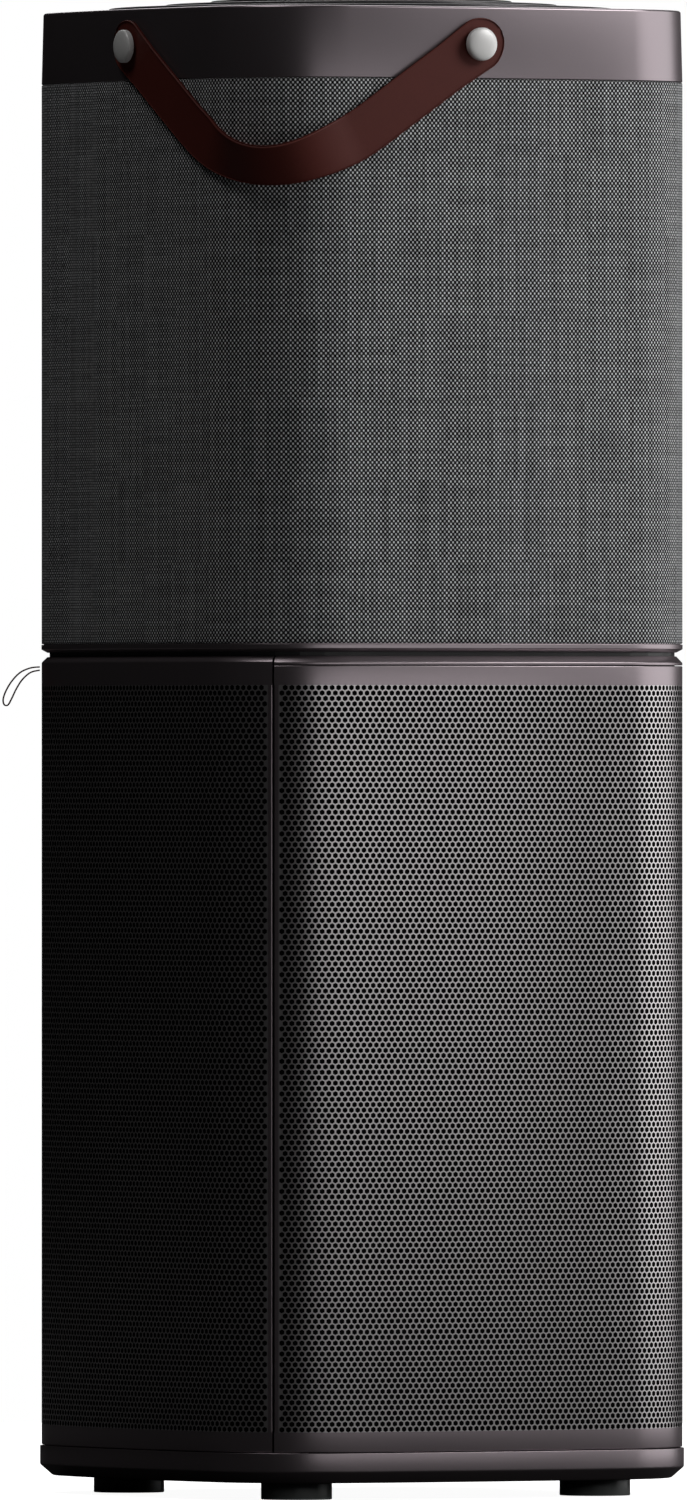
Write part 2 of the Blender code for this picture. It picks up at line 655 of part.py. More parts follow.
def strap_point(angle):
    """Middle point, outward normal, reach and stand-off share where the column's normal has that angle."""
    share = max(0.0, 1.0 - (abs(angle - FRONT_CORNER) / 45.0) ** 2) ** 2
    x, y = plan_point(angle, STRAP_THICK / 2 + 0.4 * MM + STRAP_STANDOFF * share)
    reach = Vector((x, y, 0)).dot(around(RIGHT_CORNER, 1.0))
    return Vector((x, y, strap_height(reach))), around(angle, 1.0), reach, share


def strap_angles(low, high):
    """Normal angles of points along the strap whose distance from the middle is from low to high."""
    dense = []
    for i in range(2001):
        angle = FRONT_CORNER + 46.2 * (i / 1000.0 - 1.0)
        dense.append((angle, strap_point(angle)[2]))
    return [angle for angle, reach in dense if low <= reach <= high]


def band(name, low, high, count, leather):
    """Part of the strap between two distances from its middle, as a swept rectangle."""
    angles = strap_angles(low, high)
    points = [strap_point(a) for a in angles]
    lengths = [0.0]
    for before, after in zip(points, points[1:]):
        lengths.append(lengths[-1] + (after[0] - before[0]).length)
    picked = []
    for k in range(count):
        wanted = lengths[-1] * k / (count - 1)
        picked.append(min(range(len(lengths)), key=lambda i: abs(lengths[i] - wanted)))
    sections = []
    for i in picked:
        before, after = points[max(i - 6, 0)][0], points[min(i + 6, len(points) - 1)][0]
        middle, normal, _, share = points[i]
        along = (after - before).normalized()
        tilt = math.radians(STRAP_TILT) * share
        up = normal.cross(along).normalized()
        up = up if up.z > 0 else -up
        wide = up * math.cos(tilt) + normal * math.sin(tilt)
        thick = normal * math.cos(tilt) - up * math.sin(tilt)
        half_w, half_t = STRAP_WIDTH / 2, STRAP_THICK / 2
        beyond = (abs(points[i][2]) - STRAP_REACH) / 0.61
        if beyond > 0:
            half_w = min(half_w, max(math.sqrt(max(STRAP_END_RADIUS ** 2 - beyond ** 2, 0.0)), 3 * MM))
        sections.append([middle + wide * w * half_w + thick * t * half_t
                         for w, t in ((-1, -1), (1, -1), (1, 1), (-1, 1))])
    return skin(name, sections, leather)


def strap(leather, metal, steel):
    """Strap in three lengths (a swinging loop and two fixed ends), with its two studs."""
    loop = band("strap_loop", -LOOP_REACH, LOOP_REACH, 17, leather)
    pivot = bpy.data.objects.new("strap_pivot", None)
    bpy.context.scene.collection.objects.link(pivot)
    pivot.location = (*around(FRONT_CORNER, 107.6 * MM).xy, STUD_HEIGHT)
    loop.parent = pivot
    loop.matrix_parent_inverse = Matrix.Translation(-pivot.location)
    end_reach = STRAP_REACH + 7.8 * MM
    right = band("strap_end_right", END_START, end_reach, 14, leather)
    left = band("strap_end_left", -end_reach, -END_START, 14, leather)
    face = -plan_point(270.0)[1]
    for side in ("right", "left"):
        place = Vector((-STUD_OFFSET, -face, STUD_HEIGHT)) if side == "right" else Vector((-face, -STUD_OFFSET, STUD_HEIGHT))
        facing = Vector((0, -1, 0)) if side == "right" else Vector((-1, 0, 0))
        upright = Matrix.Translation(place) @ facing.to_track_quat("Z", "Y").to_matrix().to_4x4()
        head_low = STRAP_THICK + 0.8 * MM
        stud = disc(
            "stud_" + side,
            [(2.2 * MM, -5 * MM), (2.2 * MM, head_low), (STUD_RADIUS, head_low), (STUD_RADIUS, head_low + 2.6 * MM),
             (STUD_RADIUS - 1.4 * MM, head_low + 3.9 * MM), (STUD_RADIUS * 0.4, head_low + 4.6 * MM)],
            metal,
            20,
        )
        stud.matrix_world = upright
        nut = ring("stud_nut_" + side, 2.6 * MM, 4.6 * MM, -7.6 * MM, -5.0 * MM, steel, 12)
        nut.matrix_world = upright
        drill = disc("stud_drill_" + side, [(2.6 * MM, -9 * MM), (2.6 * MM, 5 * MM)], steel, 16)
        drill.matrix_world = upright
        cut(bpy.data.objects["lid"], drill)
        cut(right if side == "right" else left, drill)


def moving_origins():
    """Puts each moving group's origin on its joint."""
    pivots = {
        "fan_axis": ((0, 0, 0), ("impeller", "motor_shaft", "rotor_magnet")),
        "door_track": (tuple(around(LEFT_CORNER, 0.12)), ("door_shell", "door_magnet_front", "door_magnet_rear", "tab_anchor")),
        "filter_track": ((0, 0, 0), ("filter_bottom_cap", "filter_top_cap", "prefilter_mesh", "filter_pleats",
                                     "carbon_layer", "filter_seal", "filter_pull")),
        "tab_pivot": ((*plan_point(TAB_ANGLE), TAB_ROOT), ("pull_tab",)),
    }
    for name, (place, members) in pivots.items():
        empty = bpy.data.objects.new(name, None)
        empty.location = place
        bpy.context.scene.collection.objects.link(empty)
        for member in members:
            node = bpy.data.objects[member]
            node.parent = empty
            node.matrix_parent_inverse = Matrix.Translation(-Vector(place))


def main():
    clear_scene()
    f = finishes()
    tray = base(f["painted_plastic"], f["rubber"])
    power_inlet(tray, f["black_plastic"])
    posts(f["grey_plastic"], f["steel"])
    shells(f["body_paint"], f["painted_plastic"], f["black_plastic"])
    pull_tab(f["leather"])
    filter_cartridge(f["filter_media"], f["carbon"], f["light_plastic"], f["rubber"], f["fabric"])
    deck(f["black_plastic"], f["steel"])
    impeller(f["black_plastic"])
    motor(f["grey_plastic"], f["steel"], f["steel"])
    fan_chamber(f["black_plastic"], f["grey_plastic"])
    upper_shells(f["painted_plastic"], f["fabric"], f["grey_plastic"])
    outlet(f["black_plastic"], f["painted_plastic"], f["glass"], f["diffuser"], f["board"])
    electronics(f["board"], f["black_plastic"], f["grey_plastic"], f["steel"])
    wiring(f["black_plastic"])
    strap(f["leather"], f["satin_metal"], f["steel"])
    moving_origins()


main()
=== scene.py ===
import json
import math
from functools import partial

import bmesh
import bpy
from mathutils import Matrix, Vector


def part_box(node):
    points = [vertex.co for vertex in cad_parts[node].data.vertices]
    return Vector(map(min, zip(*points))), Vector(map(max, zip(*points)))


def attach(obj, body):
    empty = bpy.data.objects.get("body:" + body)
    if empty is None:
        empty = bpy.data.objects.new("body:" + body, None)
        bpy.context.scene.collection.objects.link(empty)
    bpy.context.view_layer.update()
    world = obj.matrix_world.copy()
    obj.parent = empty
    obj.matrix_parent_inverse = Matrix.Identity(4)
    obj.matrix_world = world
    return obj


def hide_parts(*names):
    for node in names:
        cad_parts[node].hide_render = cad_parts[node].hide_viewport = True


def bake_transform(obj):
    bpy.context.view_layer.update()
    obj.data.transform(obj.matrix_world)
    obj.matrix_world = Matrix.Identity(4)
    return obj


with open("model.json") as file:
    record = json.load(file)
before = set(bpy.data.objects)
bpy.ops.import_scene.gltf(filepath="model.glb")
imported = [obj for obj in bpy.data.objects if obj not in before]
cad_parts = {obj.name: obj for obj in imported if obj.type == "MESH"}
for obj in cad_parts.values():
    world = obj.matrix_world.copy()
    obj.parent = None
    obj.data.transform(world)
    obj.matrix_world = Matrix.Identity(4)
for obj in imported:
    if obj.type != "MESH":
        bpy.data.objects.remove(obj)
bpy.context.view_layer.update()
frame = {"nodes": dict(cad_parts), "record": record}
mm = 0.001

# Plan of the column: four corner arcs joined by shallow side arcs
column = {
    "cornerCentre": 71.6 * mm,
    "cornerRadius": 59.5 * mm,
    "sideHalfAngle": 7.5,
    "cornerSteps": 20,
    "sideSteps": 6,
}
frontSeam, rearSeam = 225.0, 45.0  # plan angles of the two upright seams
seamGap = 0.5  # degrees between a shell's end and the seam


def planPoint(angle, offset=0.0):
    # the outline's point whose outward normal is at that angle in degrees
    centre, radius = column["cornerCentre"], column["cornerRadius"]
    start = math.radians(column["sideHalfAngle"])
    sideRadius = centre / math.sin(start) + radius
    sideCentre = centre + (radius - sideRadius) * math.cos(start)
    quarter = round(angle / 90.0)
    local = math.radians(angle - 90.0 * quarter)
    if abs(local) <= start + 1e-9:
        reach = sideRadius + offset
        x, y = sideCentre + reach * math.cos(local), reach * math.sin(local)
    else:
        reach = radius + offset
        x, y = centre + reach * math.cos(local), math.copysign(centre, local) + reach * math.sin(local)
    turn = math.radians(90.0 * quarter)
    return Vector((x * math.cos(turn) - y * math.sin(turn), x * math.sin(turn) + y * math.cos(turn), 0))


def planAngles(start, end):
    side = column["sideHalfAngle"]
    cornerSteps, sideSteps = column["cornerSteps"], column["sideSteps"]
    quarter = [side * i / sideSteps for i in range(sideSteps)]
    quarter += [side + (90 - 2 * side) * i / cornerSteps for i in range(cornerSteps)]
    quarter += [90 - side + side * i / sideSteps for i in range(sideSteps)]
    every = [90.0 * k + a for k in range(-1, 6) for a in quarter]
    return [start] + [a for a in every if start + 0.05 < a < end - 0.05] + [end]


def lengthAlong(angles):
    return sum((planPoint(b) - planPoint(a)).length for a, b in zip(angles, angles[1:]))


def around(angle, radius, height=0.0):
    turn = math.radians(angle)
    return Vector((radius * math.cos(turn), radius * math.sin(turn), height))


# mesh helpers
def newObject(name, mesh, finish, sharp=35):
    bmesh.ops.recalc_face_normals(mesh, faces=mesh.faces)
    data = bpy.data.meshes.new(name)
    mesh.to_mesh(data)
    mesh.free()
    data.materials.append(finishes[finish])
    data.shade_smooth()
    data.set_sharp_from_angle(angle=math.radians(sharp))
    piece = bpy.data.objects.new(name, data)
    bpy.context.scene.collection.objects.link(piece)
    return piece


def skin(name, sections, finish, wrap=False, us=None, vs=None, sharp=35):
    # closed solid through matching closed sections; us and vs give a UV map in metres
    mesh = bmesh.new()
    rows = [[mesh.verts.new(p) for p in section] for section in sections]
    layer = mesh.loops.layers.uv.new("surfaceMap") if us else None
    size, count = len(rows[0]), len(rows)
    for i in range(count if wrap else count - 1):
        for k in range(size):
            n, m = (i + 1) % count, (k + 1) % size
            face = mesh.faces.new((rows[i][k], rows[n][k], rows[n][m], rows[i][m]))
            if layer:
                for loop, a, b in zip(face.loops, (i, i + 1, i + 1, i), (k, k, k + 1, k + 1)):
                    loop[layer].uv = (us[a], vs[b])
    if not wrap:
        mesh.faces.new(rows[0][::-1])
        mesh.faces.new(rows[-1])
    return newObject(name, mesh, finish, sharp)


def filleted(points, steps=4):
    # rounds each corner of an open line of (a, b, radius) points
    made = []
    for i, (a, b, radius) in enumerate(points):
        if radius <= 0 or i in (0, len(points) - 1):
            made.append((a, b))
            continue
        here = Vector((a, b))
        before = (Vector(points[i - 1][:2]) - here).normalized()
        after = (Vector(points[i + 1][:2]) - here).normalized()
        half = before.angle(after) / 2
        reach = radius / math.tan(half)
        centre = here + (before + after).normalized() * radius / math.sin(half)
        first, last = here + before * reach - centre, here + after * reach - centre
        for k in range(steps + 1):
            arm = first.lerp(last, k / steps).normalized() * radius
            made.append(tuple(centre + arm))
    return made


def swept(name, profile, finish, start=None, end=None):
    # follows the column's plan; a profile point is (offset, height) or (radius, height, True)
    whole = start is None
    angles = planAngles(0.0, 360.0) if whole else planAngles(start, end)
    us = [0.0]
    for before, after in zip(angles, angles[1:]):
        us.append(us[-1] + (planPoint(after) - planPoint(before)).length)
    vs = [0.0]
    for i in range(len(profile)):
        before, after = profile[i], profile[(i + 1) % len(profile)]
        vs.append(vs[-1] + math.dist(before[:2], after[:2]))
    sections = []
    for angle in angles[:-1] if whole else angles:
        section = []
        for offset, height, *isRound in profile:
            point = planPoint(angle).normalized() * offset if isRound else planPoint(angle, offset)
            section.append((point.x, point.y, height))
        sections.append(section)
    return skin(name, sections, finish, whole, us, vs)


def turned(name, profile, finish, steps=128, centre=(0, 0)):
    # closed ring turned about an upright axis from (radius, height) points
    sections = []
    for i in range(steps):
        a = 2 * math.pi * i / steps
        sections.append([(centre[0] + r * math.cos(a), centre[1] + r * math.sin(a), z) for r, z in profile])
    return skin(name, sections, finish, True)


def dome(name, levels, finish, steps=64):
    # solid of revolution closed on its axis, from (radius, height) levels
    turn = 2 * math.pi / steps
    sections = [[(r * math.cos(i * turn), r * math.sin(i * turn), z) for i in range(steps)] for r, z in levels]
    return skin(name, sections, finish)


def carry(piece, slot, *nodes, body="cabinet"):
    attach(piece, body)
    if nodes:
        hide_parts(*nodes)
    return piece


def cutWith(piece, cutter):
    step = piece.modifiers.new("notch", "BOOLEAN")
    step.operation, step.solver, step.object = "DIFFERENCE", "EXACT", cutter
    made = bpy.data.meshes.new_from_object(piece.evaluated_get(bpy.context.evaluated_depsgraph_get()))
    piece.modifiers.clear()
    piece.data = made
    bpy.data.objects.remove(cutter)
    made.shade_smooth()
    made.set_sharp_from_angle(angle=math.radians(35))


# node helpers
def fill(tree, node, values):
    # a value that is a socket is linked, and any other is set
    for key, value in values.items():
        if isinstance(value, bpy.types.NodeSocket):
            tree.links.new(value, node.inputs[key])
        else:
            node.inputs[key].default_value = value


def addNode(tree, kind, values={}, **settings):
    made = tree.nodes.new(kind)
    for key, value in settings.items():
        setattr(made, key, value)
    fill(tree, made, values)
    return made


def math2(tree, operation, *values):
    return addNode(tree, "ShaderNodeMath", dict(enumerate(values)), operation=operation).outputs[0]


def vectorMath(tree, operation, *values):
    return addNode(tree, "ShaderNodeVectorMath", dict(enumerate(values)), operation=operation).outputs[0]


def vector3(tree, x=0.0, y=0.0, z=0.0):
    return addNode(tree, "ShaderNodeCombineXYZ", {"X": x, "Y": y, "Z": z}).outputs[0]


def floatGroup(name, inputs, outputs):
    # shader group whose sockets are all plain numbers
    tree = bpy.data.node_groups.new(name, "ShaderNodeTree")
    for label, usual in inputs.items():
        tree.interface.new_socket(label, in_out="INPUT", socket_type="NodeSocketFloat").default_value = usual
    for label in outputs:
        tree.interface.new_socket(label, in_out="OUTPUT", socket_type="NodeSocketFloat")
    return tree, tree.nodes.new("NodeGroupInput").outputs, tree.nodes.new("NodeGroupOutput")


def makeGrainGroup():
    # broad patches and a fine grain, both 0 to 1, on object coordinates
    scales = {"Patch scale": 8.0, "Grain scale": 900.0, "Stretch": 1.0}
    tree, take, end = floatGroup("surfaceGrain", scales, ("Patch", "Grain"))
    where = addNode(tree, "ShaderNodeTexCoord").outputs["Object"]
    scaled = vectorMath(tree, "MULTIPLY", where, vector3(tree, 1.0, 1.0, take["Stretch"]))
    for label, detail in (("Patch", 3.0), ("Grain", 2.0)):
        noise = addNode(tree, "ShaderNodeTexNoise", {
            "Vector": scaled, "Scale": take[label + " scale"], "Detail": detail, "Roughness": 0.55})
        fill(tree, end, {label: noise.outputs["Fac"]})
    return tree


# how long a yarn keeps its brightness, in crossings, and how much each part of it varies
fade = {"columns": 23.0, "rows": 31.0, "crossing": 0.24, "upright": 0.42, "level": 0.34}


def makeWeaveGroup():
    # plain weave: light upright yarns cross over darker level yarns, on a UV map in metres
    yarns = {"Yarn width": 1.14 * mm, "Yarn length": 1.29 * mm, "Drift": 0.3}
    tree, take, end = floatGroup("plainWeave", yarns, ("Light", "Tone", "Height"))
    calc = partial(math2, tree)
    where = addNode(tree, "ShaderNodeUVMap", uv_map="surfaceMap").outputs[0]
    parts = addNode(tree, "ShaderNodeSeparateXYZ", {0: where}).outputs
    drift = addNode(tree, "ShaderNodeTexNoise", {"Vector": where, "Scale": 60.0, "Detail": 1.0}).outputs["Fac"]
    wander = calc("MULTIPLY", calc("SUBTRACT", drift, 0.5), take["Drift"])
    u = calc("ADD", calc("DIVIDE", parts["X"], take["Yarn width"]), wander)
    v = calc("ADD", calc("DIVIDE", parts["Y"], take["Yarn length"]), wander)
    column, row = calc("FLOOR", u), calc("FLOOR", v)
    across, along = calc("FRACT", u), calc("FRACT", v)
    upright = calc("PINGPONG", calc("ADD", column, row), 1.0)

    def dice(first, second, size):
        made = addNode(tree, "ShaderNodeTexWhiteNoise", {"Vector": vector3(tree, first, second)}, noise_dimensions="2D")
        return calc("MULTIPLY", made.outputs["Value"], size)

    # each yarn has its own brightness that fades in and out along its length
    fadeX = calc("FLOOR", calc("DIVIDE", column, fade["columns"]))
    fadeY = calc("FLOOR", calc("DIVIDE", row, fade["rows"]))
    tone = calc("ADD", dice(column, row, fade["crossing"]), dice(column, fadeY, fade["upright"]))
    tone = calc("ADD", tone, dice(fadeX, row, fade["level"]))

    def hump(share, power):
        centred = calc("ABSOLUTE", calc("MULTIPLY_ADD", share, 2.0, -1.0))
        return calc("SUBTRACT", 1.0, calc("POWER", centred, power))

    over = calc("MULTIPLY", hump(across, 2.2), hump(along, 3.0))
    under = calc("MULTIPLY", hump(along, 2.2), hump(across, 3.0))
    mixed = addNode(tree, "ShaderNodeMix", {"Factor": upright, "A": under, "B": over}).outputs["Result"]
    fill(tree, end, {"Light": upright, "Tone": tone, "Height": mixed})
    return tree


grainGroup = makeGrainGroup()
weaveGroup = makeWeaveGroup()


finishes = {}


def newMaterial(name):
    made = finishes[name] = bpy.data.materials.new(name)
    made.use_nodes = True
    return made.node_tree, made.node_tree.nodes["Principled BSDF"]


def newFinish(name, look):
    # look: colour, colour2, rough, metal, patch, grain, speck, stretch, bump, and plain shader values under "plain"
    tree, shader = newMaterial(name)
    speck = look.get("speck", 0.3)
    grain = addNode(tree, "ShaderNodeGroup", {
        "Patch scale": look.get("patch", 9.0), "Grain scale": look.get("grain", 900.0),
        "Stretch": look.get("stretch", 1.0)}, node_tree=grainGroup)
    mottle = math2(tree, "MULTIPLY_ADD", grain.outputs["Grain"], speck, 0.0)
    share = math2(tree, "MULTIPLY_ADD", grain.outputs["Patch"], 1.0 - speck, mottle)
    blend = addNode(tree, "ShaderNodeMix", {
        "Factor": share, "A": (*look["colour"], 1.0), "B": (*look["colour2"], 1.0)}, data_type="RGBA")
    low, high = look["rough"]
    rough = addNode(tree, "ShaderNodeMapRange", {"Value": share, "To Min": low, "To Max": high})
    bump = addNode(tree, "ShaderNodeBump", {
        "Strength": look.get("bump", 0.1), "Distance": 0.05 * mm, "Height": grain.outputs["Grain"]})
    fill(tree, shader, {
        "Base Color": blend.outputs["Result"], "Roughness": rough.outputs[0], "Normal": bump.outputs[0],
        "Metallic": look.get("metal", 0.0), **look.get("plain", {})})


taupe = {
    "colour": (0.30, 0.255, 0.275), "colour2": (0.345, 0.295, 0.315), "rough": (0.29, 0.37), "metal": 0.88,
    "grain": 1500.0, "speck": 0.45, "bump": 0.12,
}
# a lighter copy of the taupe paint: painted highlight standing in for the light the sheet catches on its cut edges
sheetPaint = dict(taupe, colour=(0.5, 0.474, 0.482), colour2=(0.56, 0.534, 0.542))
looks = {
    "taupePaint": taupe,
    "sheetPaint": sheetPaint,
    "graphiteRing": {
        "colour": (0.045, 0.042, 0.044), "colour2": (0.062, 0.057, 0.06), "rough": (0.3, 0.4), "metal": 0.55,
        "grain": 1500.0},
    "strapLeather": {
        "colour": (0.13, 0.028, 0.021), "colour2": (0.082, 0.016, 0.012), "rough": (0.42, 0.6), "patch": 30.0,
        "grain": 1100.0, "speck": 0.4, "bump": 0.4, "plain": {"Specular IOR Level": 0.22}},
    "satinStud": {
        "colour": (0.88, 0.87, 0.85), "colour2": (0.82, 0.81, 0.8), "rough": (0.4, 0.48), "metal": 0.15,
        "grain": 2200.0, "bump": 0.08},
    "footRubber": {
        "colour": (0.15, 0.16, 0.157), "colour2": (0.19, 0.205, 0.2), "rough": (0.28, 0.38), "grain": 700.0},
    # near-black and matte: painted shade for the hole walls and for the sheet behind the holes
    "darkLiner": {
        "colour": (0.006, 0.006, 0.006), "colour2": (0.01, 0.01, 0.01), "rough": (0.85, 0.95), "grain": 1600.0,
        "bump": 0.6, "plain": {"Specular IOR Level": 0.0}},
    "blackMould": {
        "colour": (0.014, 0.014, 0.015), "colour2": (0.02, 0.02, 0.021), "rough": (0.42, 0.55), "bump": 0.25},
    "greyMould": {
        "colour": (0.17, 0.17, 0.18), "colour2": (0.21, 0.21, 0.22), "rough": (0.5, 0.62), "bump": 0.25},
    "paleMould": {
        "colour": (0.58, 0.58, 0.57), "colour2": (0.64, 0.64, 0.63), "rough": (0.5, 0.62), "bump": 0.2},
    "filterPaper": {
        "colour": (0.7, 0.71, 0.67), "colour2": (0.78, 0.78, 0.75), "rough": (0.85, 0.95), "grain": 2000.0,
        "speck": 0.6, "bump": 0.5},
    "carbonFoam": {
        "colour": (0.012, 0.012, 0.013), "colour2": (0.04, 0.04, 0.042), "rough": (0.8, 0.95), "grain": 500.0,
        "speck": 0.8, "bump": 0.9, "plain": {"Specular IOR Level": 0.15}},
    "sealFoam": {
        "colour": (0.02, 0.02, 0.021), "colour2": (0.035, 0.035, 0.036), "rough": (0.8, 0.9), "grain": 800.0,
        "bump": 0.6},
    "touchGlass": {
        "colour": (0.006, 0.006, 0.007), "colour2": (0.008, 0.008, 0.009), "rough": (0.05, 0.1), "bump": 0.0,
        "plain": {"Coat Weight": 0.6, "Coat Roughness": 0.04}},
    "frostedRing": {
        "colour": (0.72, 0.78, 0.8), "colour2": (0.8, 0.85, 0.86), "rough": (0.35, 0.45), "bump": 0.05,
        "plain": {"Emission Color": (0.75, 0.9, 1.0, 1.0), "Emission Strength": 0.25}},
    "circuitBoard": {
        "colour": (0.01, 0.09, 0.04), "colour2": (0.02, 0.14, 0.06), "rough": (0.35, 0.5), "grain": 400.0,
        "speck": 0.7, "bump": 0.2},
    "zincSteel": {
        "colour": (0.5, 0.5, 0.5), "colour2": (0.42, 0.42, 0.43), "rough": (0.28, 0.42), "metal": 1.0,
        "grain": 600.0, "stretch": 0.15, "bump": 0.12},
    "copperWire": {
        "colour": (0.6, 0.25, 0.12), "colour2": (0.45, 0.17, 0.08), "rough": (0.3, 0.45), "metal": 1.0,
        "stretch": 6.0, "bump": 0.5},
}
for name, look in looks.items():
    newFinish(name, look)


def makeCloth(name, look):
    tree, shader = newMaterial(name)
    weave = addNode(tree, "ShaderNodeGroup", {
        "Yarn width": look["yarnWidth"], "Yarn length": look["yarnLength"]}, node_tree=weaveGroup)
    yarns = []
    for tones in (look["level"], look["upright"]):
        ramp = addNode(tree, "ShaderNodeValToRGB", {"Fac": weave.outputs["Tone"]})
        for stop, place, tone in zip(ramp.color_ramp.elements, (0.15, 0.85), tones):
            stop.position, stop.color = place, (tone * 0.97, tone * 0.98, tone, 1.0)
        yarns.append(ramp.outputs["Color"])
    pick = addNode(tree, "ShaderNodeMix", {
        "Factor": weave.outputs["Light"], "A": yarns[0], "B": yarns[1]}, data_type="RGBA")
    shade = addNode(tree, "ShaderNodeMapRange", {
        "Value": weave.outputs["Height"], "From Max": 0.85, "To Min": look["pitShade"], "To Max": 1.0})
    deep = addNode(tree, "ShaderNodeMix", {
        "Factor": 1.0, "A": pick.outputs["Result"], "B": shade.outputs[0]}, data_type="RGBA", blend_type="MULTIPLY")
    bump = addNode(tree, "ShaderNodeBump", {
        "Strength": look["bump"], "Distance": 0.2 * mm, "Height": weave.outputs["Height"]})
    fill(tree, shader, {"Base Color": deep.outputs["Result"], "Normal": bump.outputs[0], "Roughness": 0.92,
                        "Specular IOR Level": 0.15})


makeCloth("melangeCloth", {
    "yarnWidth": 1.14 * mm, "yarnLength": 1.29 * mm, "level": (0.002, 0.05), "upright": (0.58, 1.0),
    "pitShade": -0.08, "bump": 0.5,
})
slotFinish = {
    "body_paint": "taupePaint", "painted_plastic": "taupePaint", "fabric": "sealFoam", "leather": "strapLeather",
    "satin_metal": "satinStud", "black_plastic": "blackMould", "grey_plastic": "greyMould",
    "light_plastic": "paleMould", "filter_media": "filterPaper", "carbon": "carbonFoam", "rubber": "footRubber",
    "glass": "touchGlass", "diffuser": "frostedRing", "board": "circuitBoard", "steel": "zincSteel",
}
nodeFinish = {"stator": "copperWire", "filter_seal": "sealFoam", "prefilter_mesh": "carbonFoam"}
for part in frame["record"]["subparts"]:
    node = frame["nodes"][part["node"]]
    chosen = finishes[nodeFinish.get(part["node"], slotFinish[part["material_slot"]])]
    node.data.materials.clear()
    node.data.materials.append(chosen)
print("finishes ready")


# lower section
def top(node):
    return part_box(node)[1].z


def bottom(node):
    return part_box(node)[0].z


shellTop = top("front_shell")
shellBottom = bottom("front_shell")
perforation = {
    "pitch": 3.277 * mm,
    "rowSpacing": 2.629 * mm,
    "rows": 138,
    "firstRow": 34.7 * mm,
    "holeRadius": 1.39 * mm,  # corner radius of the six-sided hole
    "wall": 0.6 * mm,
    "margin": 2.2 * mm,  # plain strip beside each seam
    "pieces": 3,
}


def perforationCell(look):
    # one hole in its patch of sheet: six quads round the hole and six down its wall
    mesh = bmesh.new()
    halfX, halfY, radius = look["pitch"] / 2, look["rowSpacing"] / 2, look["holeRadius"]
    rim = [(0, halfY), (halfX, halfY), (halfX, -halfY), (0, -halfY), (-halfX, -halfY), (-halfX, halfY)]
    outer = [mesh.verts.new((x, y, 0)) for x, y in rim]
    angles = [math.radians(90 - 60 * i) for i in range(6)]
    hole = [mesh.verts.new((radius * math.cos(a), radius * math.sin(a), 0)) for a in angles]
    deep = [mesh.verts.new((*v.co.xy, -look["wall"])) for v in hole]
    for i in range(6):
        n = (i + 1) % 6
        mesh.faces.new((outer[i], hole[i], hole[n], outer[n]))
        mesh.faces.new((hole[i], deep[i], deep[n], hole[n]))
    data = bpy.data.meshes.new("perforationCell")
    mesh.to_mesh(data)
    mesh.free()
    return bpy.data.objects.new("perforationCell", data)


def fillerCell(look):
    # plain half patch that squares off every other row
    x, y = look["pitch"] / 4, look["rowSpacing"] / 2
    data = bpy.data.meshes.new("fillerCell")
    data.from_pydata([(-x, -y, 0), (x, -y, 0), (x, y, 0), (-x, y, 0)], [], [(0, 1, 2, 3)])
    return bpy.data.objects.new("fillerCell", data)


def routeCurve(name, angles):
    curve = bpy.data.curves.new(name, "CURVE")
    curve.dimensions = "3D"
    spline = curve.splines.new("POLY")
    spline.points.add(len(angles) - 1)
    for point, angle in zip(spline.points, angles):
        point.co = (*planPoint(angle), 1.0)
    return bpy.data.objects.new(name, curve)


def geoTree(name, **inputs):
    # inputs: the labels of each kind of socket
    tree = bpy.data.node_groups.new(name, "GeometryNodeTree")
    for kind, labels in inputs.items():
        for label in labels:
            tree.interface.new_socket(label, in_out="INPUT", socket_type="NodeSocket" + kind)
    tree.interface.new_socket("Geometry", in_out="OUTPUT", socket_type="NodeSocketGeometry")
    return tree, tree.nodes.new("NodeGroupInput").outputs, tree.nodes.new("NodeGroupOutput").inputs[0]


def geoNode(tree, kind, values={}, out=0, **settings):
    return addNode(tree, "GeometryNode" + kind, values, **settings).outputs[out]


